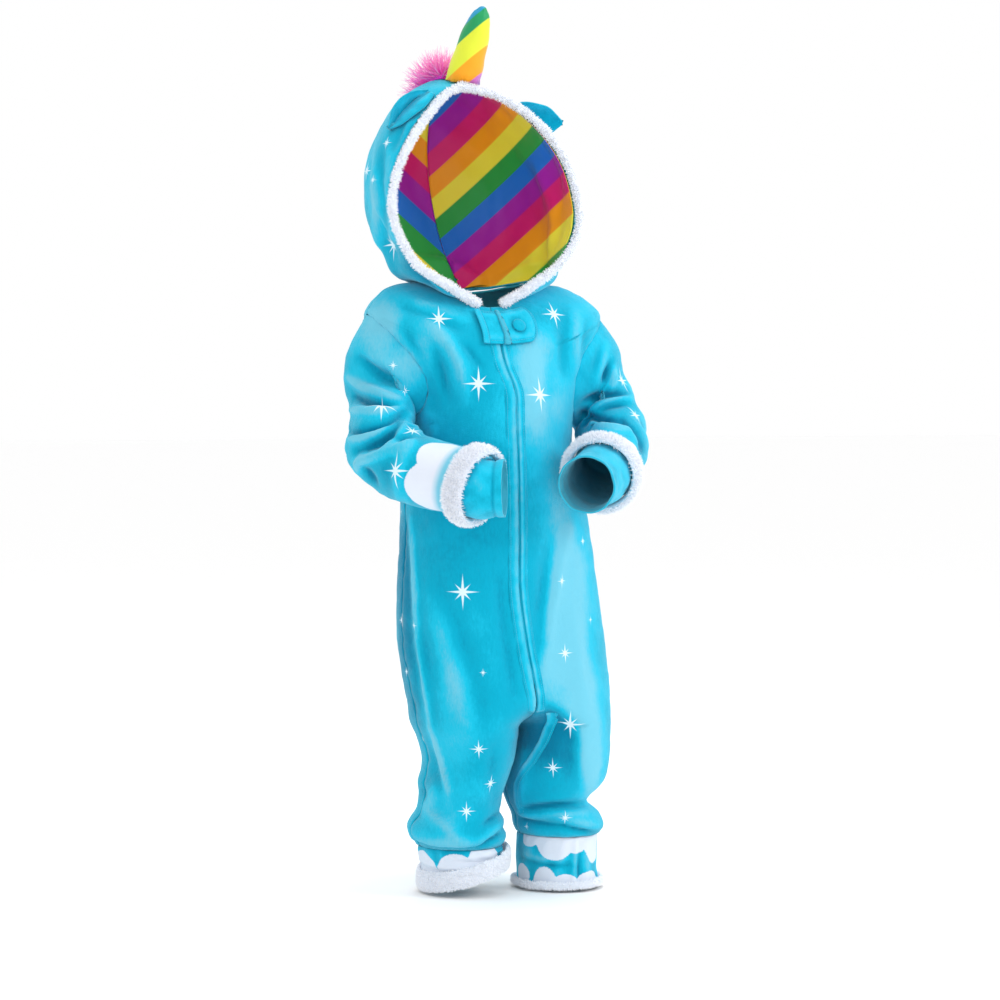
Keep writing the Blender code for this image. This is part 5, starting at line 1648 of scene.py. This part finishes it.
for side in (RIGHT, LEFT):
    row = {name: values[0] for name, values in EARS[side].items()}
    ends = ("foot", "tip", "open")
    foot, tip, open_way = (np.array([row[f"{end}_{axis}"] for axis in "xyz"]) for end in ends)
    long_way = tip - foot
    upward = unit(long_way)
    open_way = unit(open_way - upward * (open_way @ upward))
    wide_way = np.cross(upward, open_way)
    roll = EAR_ROLL[side] * math.atan((wide_way @ VIEW_BACK) / (open_way @ VIEW_BACK))
    open_way, wide_way = (
        open_way * math.cos(roll) + wide_way * math.sin(roll),
        wide_way * math.cos(roll) - open_way * math.sin(roll),
    )
    share = np.linspace(0, 1, 34)[:, None]
    across = np.linspace(-1, 1, 34)[None, :]
    curl = np.radians(58) * (1 - 0.3 * share)
    rounded = np.sqrt(1 - 0.97 * np.clip((share - 0.7) / 0.3, 0, 1) ** 2)
    radius = through(EAR_ACROSS, share * 5) * rounded / curl
    aside = radius * np.sin(across * curl)
    rise = radius * (1 - np.cos(across * curl)) - row["bow"] * np.sin(math.pi * share) * 0.8
    points = foot + long_way * share[..., None] + wide_way * aside[..., None] + open_way * rise[..., None]
    points = off_the_hood(side, points, share)
    pleat = 1.2 * np.cos(across * 9) * np.exp(-share * 3)
    pleat = pleat - 0.9 * np.exp(-((across * 4) ** 2)) * (1 - share)
    pleat = pleat + 0.6 * unevenness(points, 10, 6.3 + side)
    points = points + hollow_side(points) * np.clip(pleat, -0.4, 2)[..., None]
    wall_thick = (EAR_WALL - 1.6 * np.abs(across) ** 8 + 0 * share)[..., None]
    # Painted shade down the middle of the ear's hollow, and painted light on the raised pleats.
    marks = {"painted_light_and_mottle": 0.1 - 0.6 * (1 - np.abs(across)) + 0 * share + 0.6 * pleat}
    ear = cloth_piece(f"folded_ear_{WORD[side]}", points, velour, marks, open_way, wall_thick)
    declare(ear, f"ear_{WORD[side]}", "velour", (0.042, 0.072), 0.0024, "folded")

# The horn, as rings from its foot on the hood up to a rounded tip, with gathers at both ends.
foot = np.array([*HORN_FOOT, crown_height(*HORN_FOOT)])
axis = np.array(HORN_TIP) - foot
upward = unit(axis)
turn = full_turn(72)
rings = []
for share in np.linspace(0, 1, 60) ** 0.9:
    radius = float(np.interp(share, HORN_HEIGHTS, HORN_RADII))
    radius -= 0.9 * math.exp(-((share - 0.97) / 0.05) ** 2)
    centre = foot + axis * share
    lean = min(share * 3, 1.0)
    normal = unit(upward * lean + np.array([0, 0, 1.0]) * (1 - lean))
    aside = unit(np.cross([0.0, 1.0, 0.0], normal))
    front = np.cross(normal, aside)
    wave = 0.5 * np.sin(2 * turn + 14 * share) * math.sin(math.pi * share)
    gather = 0.7 * np.sin(turn * 11 + 1.3 * np.sin(3 * turn)) * math.exp(-share / 0.05)
    gather += 0.35 * np.sin(turn * 7) * math.exp(-((share - 1) / 0.08) ** 2)
    seam_line = -0.9 * np.exp(-((np.angle(np.exp(1j * (turn - 1.9))) / 0.09) ** 2))
    reach = radius + wave + gather + seam_line
    ring = centre + reach[:, None] * (np.outer(np.cos(turn), aside) + np.outer(np.sin(turn), front))
    if share == 0:
        ring[:, 2] = [crown_height(x, y) + LAID_ON for x, y in ring[:, :2]]
    elif share < 0.12:
        ring[:, 2] = np.maximum(ring[:, 2], rings[-1][:, 2] + 0.4)
    rings.append(ring)
last_ring = rings[-1]
tip_centre = last_ring.mean(axis=0)
for share, height in ((0.75, 0.9), (0.45, 1.5), (0.15, 1.9)):
    rings.append(tip_centre + (last_ring - tip_centre) * share + upward * height)
rings = np.array(rings)
horn_piece = solid_grid("stuffed_horn", rings, horn_satin, "flat")
across, up = as_seen(rings)
add_mark(horn_piece.data, "phase", up - 0.8 * across)
declare(horn_piece, "horn", "satin")

# The mane's base, a low ridge along the crown seam behind the horn.
at = np.linspace(MANE_START, MANE_END, 30)
share = np.linspace(0, 1, 30)
swell = np.sin(np.pi * (0.12 + 0.76 * share)) ** 0.5
seam = hood_points(LEFT, at, np.zeros(30), 0.0)
behind = unit(np.gradient(seam, axis=0))
aside = np.array([1.0, 0.0, 0.0])
out = np.cross(behind, aside)
out *= np.sign(out[:, 2:3])
section = np.linspace(0, math.pi, 17)
arch = seam + out * LAID_ON * 1.6
ridge = arch[:, None] + swell[:, None, None] * (
    aside * MANE_HALF_WIDTH * 0.72 * np.cos(section)[None, :, None]
    + out[:, None] * MANE_HEIGHT * 0.3 * np.sin(section)[None, :, None]
)
pink_fur = fur_material("pink_fur", (0.90, 0.05, 0.62), (1.0, 0.32, 0.72), (1.0, 0.62, 0.58))
mane_base = solid_grid("mane_tuft", ridge, pink_fur, "flat", np.sin(section) < 0.25)
STRANDS = {"Density": 420000.0, "Length": 0.023, "Width": 0.0015, "Lean": 0.42, "Curl": 4.0, "Sides": 3}
furry(mane_base, "mane", STRANDS, 41)

# Front opening. Folded velour bands each side of the zip, which stay hidden, the leg's own band, and
# the tab with its covered snap at the top.

PLACKET_TOP = 3.2  # row of the body's table
PLACKET_FOOT = 14.2
PLACKET_EDGE = 1.2  # from the middle of the zip
PLACKET_WALL = 1.5
LEG_PLACKET = table("row angle", [
    (14.3, -118),
    (15.0, -136),
    (16.0, -141),
    (17.0, -150),
    (18.0, -162),
    (19.0, -165),
    (19.7, -165),
])

TAB_TOP = 0.8
TAB_FOOT = 3.75
TAB_RIGHT = 20  # mm from the middle to the wearer's right
TAB_LEFT = 43
TAB_BAND = 7
TAB_LIFT = 2 * LAID_ON + 2 * PLACKET_WALL


def across_front(at, x, lift):
    """Points of the front at a row and a distance from the middle, plus towards the wearer's left."""
    reach = through(BODY[LEFT]["half_width"], at)
    angle = -90 + np.degrees(np.abs(x) / reach)
    points = body_points(LEFT, at, angle, lift)
    mid = through(TORSO["mid_x"], at)
    mirrored = body_points(RIGHT, at, angle, lift)
    side = np.clip(x / 4 + 0.5, 0, 1)[..., None]
    mirrored[..., 0] = np.where(x < 0, mirrored[..., 0], 2 * mid - mirrored[..., 0])
    points[..., 0] = np.where(x >= 0, points[..., 0], 2 * mid - points[..., 0])
    return points * side + mirrored * (1 - side)


SNAP_RADIUS = 7.2
SNAP_ROW = 2.45
SNAP_X = 22

BAND_WIDTH = {RIGHT: 11.5, LEFT: 9.0}
PLACKET_CUT = {RIGHT: ((0.0118, 0.4), 0.0044), LEFT: ((0.0102, 0.4), 0.0034)}
TAB_ROW = 11.5  # mm for each row of the body's table beside the tab


def folded_band(name, side, at, angle, share):
    """A folded band on the front, thick and round at the zip's edge and thin at the outer one."""
    thin = 0.12 + 1.1 * (1 - share) ** 1.2 - 0.7 * np.exp(-share * 16)
    bumps = 0.35 * unevenness(body_points(side, at + 0 * angle, angle), 11, 3.9 + side)
    outer = body_points(side, at + 0 * angle, angle, 0.2 + thin + bumps * (1 - share))
    inner = body_points(side, at + 0 * angle, angle, 0.05)
    thick = np.linalg.norm(outer - inner, axis=-1, keepdims=True)
    # Painted highlight along the rounded zip edge, and lighter on the raised bumps.
    marks = {"painted_light_and_mottle": 0.9 * np.exp(-((share - 0.2) / 0.3) ** 2) + bumps}
    return cloth_piece(name, outer, velour, marks, (0, -1, 0), thick)


for side in (RIGHT, LEFT):
    at = even_rows(body_ring(side), PLACKET_TOP, PLACKET_FOOT, -88, 3.2)[:, None]
    _, half, edge = ring_share(side, at)
    share = np.linspace(0, 1, 13)[None, :]
    width = np.degrees((PLACKET_EDGE + (BAND_WIDTH[side] - PLACKET_EDGE) * share) / half)
    band = folded_band(f"zip_band_{WORD[side]}", side, at, width - edge, share)
    declare(band, f"placket_{WORD[side]}", "velour", *PLACKET_CUT[side], "folded")

at = even_rows(body_ring(LEFT), LEG_PLACKET["row"][0], LEG_PLACKET["row"][-1], -140, 2.5)[:, None]
share = np.linspace(0, 1, 13)[None, :]
angle = np.interp(at, LEG_PLACKET["row"], LEG_PLACKET["angle"]) + 11 * share
band = folded_band("leg_band", LEFT, at, angle, share)
declare(band, "placket_leg", "velour", (0.0135, 0.132), None, "folded")

at = np.linspace(TAB_TOP, TAB_FOOT, 44)[:, None]
middle = (TAB_TOP + TAB_FOOT) / 2
round_off = 12 * (1 - np.sqrt(1 - 0.98 * ((at - middle) / (TAB_FOOT - middle)) ** 2))
start = TAB_BAND + 0.1 - TAB_RIGHT
share = np.linspace(0, 1, 64)
x = start + (TAB_LEFT - round_off - start) * share
from_ends = np.minimum(at - TAB_TOP, TAB_FOOT - at) * TAB_ROW + 0 * share
from_edge = np.minimum(from_ends, (1 - share) * (TAB_LEFT - start) + 0 * at)
puff = 0.5 * np.exp(-((from_edge - 5.5) / 3.5) ** 2) - 0.9 * np.exp(-from_edge / 0.8)
puff -= 0.45 * np.exp(-((from_edge - 2.6) / 0.8) ** 2)
spot_off = np.hypot(x - SNAP_X, (at - SNAP_ROW) * TAB_ROW)
dent = -0.8 * np.exp(-((spot_off / 9) ** 4))
plain = across_front(at + 0 * x, x, TAB_LIFT)
puff = puff + dent + 0.35 * unevenness(plain, 9, 2.2)
outer = across_front(at + 0 * x, x, TAB_LIFT + puff)
# Painted light where the tab puffs up, painted shade at its stitched edges and round the snap.
marks = {"painted_light_and_mottle": 0.3 + 0.9 * puff}
tab = cloth_piece("tab", outer, velour, marks, (0, -1, 0), 1.4)
declare(tab, "neck_tab", "velour", (0.053, 0.071), 0.003, "folded")

share = np.linspace(0, 1, 16)
x = -TAB_RIGHT + TAB_BAND * share + 0 * at
round_over = 0.7 * np.sin(math.pi * share) ** 0.5 - 0.6
bumps = 0.2 * unevenness(x[..., None] + plain[:, :16], 8, 1.2)
outer = across_front(at + 0 * x, x, TAB_LIFT + 0.7 + round_over + bumps)
# Painted light on the band's rounded top, painted shade at its edges.
marks = {"painted_light_and_mottle": 0.5 + 0.6 * round_over + 0 * at}
band = cloth_piece("sewn_band", outer, velour, marks, (0, -1, 0), 1.2)
declare(band, "tab_band", "velour", (0.0102, 0.042), 0.0003, "folded")

# The covered snap, a flat dome square to the tab.
around_snap = ((SNAP_ROW, SNAP_X), (SNAP_ROW, SNAP_X + 2), (SNAP_ROW + 0.2, SNAP_X))
spot, right_of, below = (
    across_front(np.array([[row]]), np.array([[x]]), TAB_LIFT + 0.25)[0, 0] for row, x in around_snap
)
right_of = unit(right_of - spot)
facing = unit(np.cross(below - spot, right_of))
facing *= -np.sign(facing[1])
upward = np.cross(facing, right_of)
turn = full_turn(48)
ring = np.outer(np.cos(turn), right_of) + np.outer(np.sin(turn), upward)
DOME = table("radius height", [
    (0.3, 2.35),
    (0.45, 2.3),
    (0.66, 2.1),
    (0.84, 1.7),
    (0.95, 1.15),
    (1.0, 0.6),
    (0.97, 0.15),
    (0.9, 0.0),
])
rings = [spot + facing * height + SNAP_RADIUS * radius * ring for radius, height in each_row(DOME)]
cap = solid_grid("snap_cap", np.array(rings), velour, "flat")
declare(cap, "snap", "velour")


# Stitches. One Geometry Nodes group lays short threads along lines on the cloth: round the tab and its band,
# beside the zip and along the leg's band.


def stitch_group():
    """A Geometry Nodes group that puts a thread at even steps along every edge line."""
    inputs = [
        GEOMETRY,
        ("Step", "NodeSocketFloat"),
        ("Length", "NodeSocketFloat"),
        ("Thickness", "NodeSocketFloat"),
        ("Material", "NodeSocketMaterial"),
    ]
    group, start, end = node_group("stitches", inputs, [GEOMETRY], "GeometryNodeTree")
    wires = Wiring(group)
    given = start.outputs
    curve = wires.add("GeometryNodeMeshToCurve", {0: given["Geometry"]}).outputs[0]
    inputs = {"Curve": curve, "Length": given["Step"]}
    spots = wires.add("GeometryNodeCurveToPoints", inputs, mode="LENGTH").outputs
    thread = wires.add("GeometryNodeMeshUVSphere", {"Segments": 6, "Rings": 5, "Radius": 0.5})
    inputs = {0: given["Thickness"], 1: given["Thickness"], 2: given["Length"]}
    size = wires.add("ShaderNodeCombineXYZ", inputs).outputs[0]
    threads = copies(wires, spots["Points"], thread.outputs["Mesh"], spots["Rotation"], size)
    end_group(wires, end, threads, given["Material"])
    return group


def seam_lines():
    """The stitched lines, each a row of points just above the cloth."""
    found = []
    for side in (RIGHT, LEFT):
        at = np.linspace(PLACKET_TOP + 0.7, PLACKET_FOOT - 0.1, 240)
        _, half, edge = ring_share(side, at)
        offset = BAND_WIDTH[side] - 2.0
        angle = np.degrees(offset / half) - edge
        found.append(body_points(side, at, angle, 0.75))
    at = np.linspace(*LEG_PLACKET["row"][[0, -1]], 90)
    angle = np.interp(at, LEG_PLACKET["row"], LEG_PLACKET["angle"]) + 9
    found.append(body_points(LEFT, at, angle, 0.7))
    turn = np.linspace(0, 1, 60)
    top, foot = TAB_TOP + 0.22, TAB_FOOT - 0.22
    right, left = TAB_BAND + 3 - TAB_RIGHT, TAB_LEFT - 2.6
    line_x = right + (left - 9 - right) * turn
    for row in (top, foot):
        line_at = row + 0 * turn
        found.append(across_front(line_at[:, None], line_x[:, None], TAB_LIFT + 0.35)[:, 0])
    bend = np.linspace(-90, 90, 40)
    centre = (top + foot) / 2
    reach = (foot - top) / 2
    end_x = left - 9 + 9 * np.cos(np.radians(bend)) ** 0.6
    end_at = centre + reach * np.sin(np.radians(bend))
    found.append(across_front(end_at[:, None], end_x[:, None], TAB_LIFT + 0.35)[:, 0])
    down = np.linspace(TAB_TOP + 0.1, TAB_FOOT - 0.1, 60)
    for x in (1.3 - TAB_RIGHT, TAB_BAND - 1.3 - TAB_RIGHT):
        found.append(across_front(down[:, None], x + 0 * down[:, None], TAB_LIFT + 0.75)[:, 0])
    return found


def mesh_lines(name, lines):
    """An object of loose edges along each line."""
    vertices, edges = [], []
    for line in lines:
        first = len(vertices)
        vertices += [tuple(point * MM) for point in line]
        edges += [(first + i, first + i + 1) for i in range(len(line) - 1)]
    mesh = bpy.data.meshes.new(name)
    mesh.from_pydata(vertices, edges, [])
    return in_scene(name, mesh)


thread = new_material("thread", {"Base Color": (0.05, 0.50, 0.68, 1), "Roughness": 0.6})[0]
sewing = mesh_lines("stitches", seam_lines())
sizes = {"Step": 0.0026, "Length": 0.0021, "Thickness": 0.0006}
made_plain(sewing, stitch_group(), sizes | {"Material": thread})
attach(sewing, "root")


# Stage: a plain pale floor under the hems, soft lights with the key from the wearer's left, and the
# camera where the photo was taken from, level and a little to the wearer's right.

FLOOR_Z = -0.6165
FLOOR_REACH = 30
ways = ((-1, -1), (1, -1), (1, 1), (-1, 1))
floor_mesh = bpy.data.meshes.new("floor")
floor_mesh.from_pydata([(FLOOR_REACH * x, FLOOR_REACH * y, FLOOR_Z) for x, y in ways], [], [(0, 1, 2, 3)])
floor = in_scene("floor", floor_mesh)
pale = new_material("pale_floor", {"Base Color": (0.99, 0.99, 0.99, 1), "Roughness": 0.9})[0]
floor_mesh.materials.append(pale)
floor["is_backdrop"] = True

world = bpy.data.worlds.new("studio")
world.use_nodes = True
world.node_tree.nodes["Background"].inputs["Color"].default_value = (1, 1, 1, 1)
world.node_tree.nodes["Background"].inputs["Strength"].default_value = 1.0
bpy.context.scene.world = world
bpy.context.scene.view_settings.view_transform = "Standard"

LIGHT_AIM = Vector((0.0, 0.0, -0.15))


def soft_light(name, place, size, power):
    """A square soft box that faces the costume."""
    made = bpy.data.lights.new(name, "AREA")
    made.size = size
    made.energy = power
    lamp = in_scene(name, made)
    lamp.location = place
    lamp.rotation_euler = (LIGHT_AIM - Vector(place)).to_track_quat("-Z", "Y").to_euler()


soft_light("key", (1.6, -1.6, 0.9), 0.7, 19)
soft_light("fill", (-1.8, -2.0, 0.5), 1.6, 4)
soft_light("top", (0.2, -0.2, 2.0), 1.2, 12)
soft_light("back", (0.8, 1.8, 1.0), 1.2, 12)

CAMERA_ELEVATION = math.radians(2)
CAMERA_DISTANCE = 3.2
CAMERA_AIM = Vector((0.0237312, -0.0096, -0.207))
back = Vector(
    (
        math.sin(VIEW_AZIMUTH) * math.cos(CAMERA_ELEVATION),
        -math.cos(VIEW_AZIMUTH) * math.cos(CAMERA_ELEVATION),
        math.sin(CAMERA_ELEVATION),
    )
)
lens = bpy.data.cameras.new("camera")
lens.lens = 110
lens.sensor_width = 36
camera = in_scene("camera", lens)
camera.location = CAMERA_AIM + back * CAMERA_DISTANCE
camera.rotation_euler = back.to_track_quat("Z", "Y").to_euler()
bpy.context.scene.camera = camera

boxes = {"cad": cad_box, "visual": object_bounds()}
sizes = {name: [[float(v) for v in corner] for corner in box] for name, box in boxes.items()}
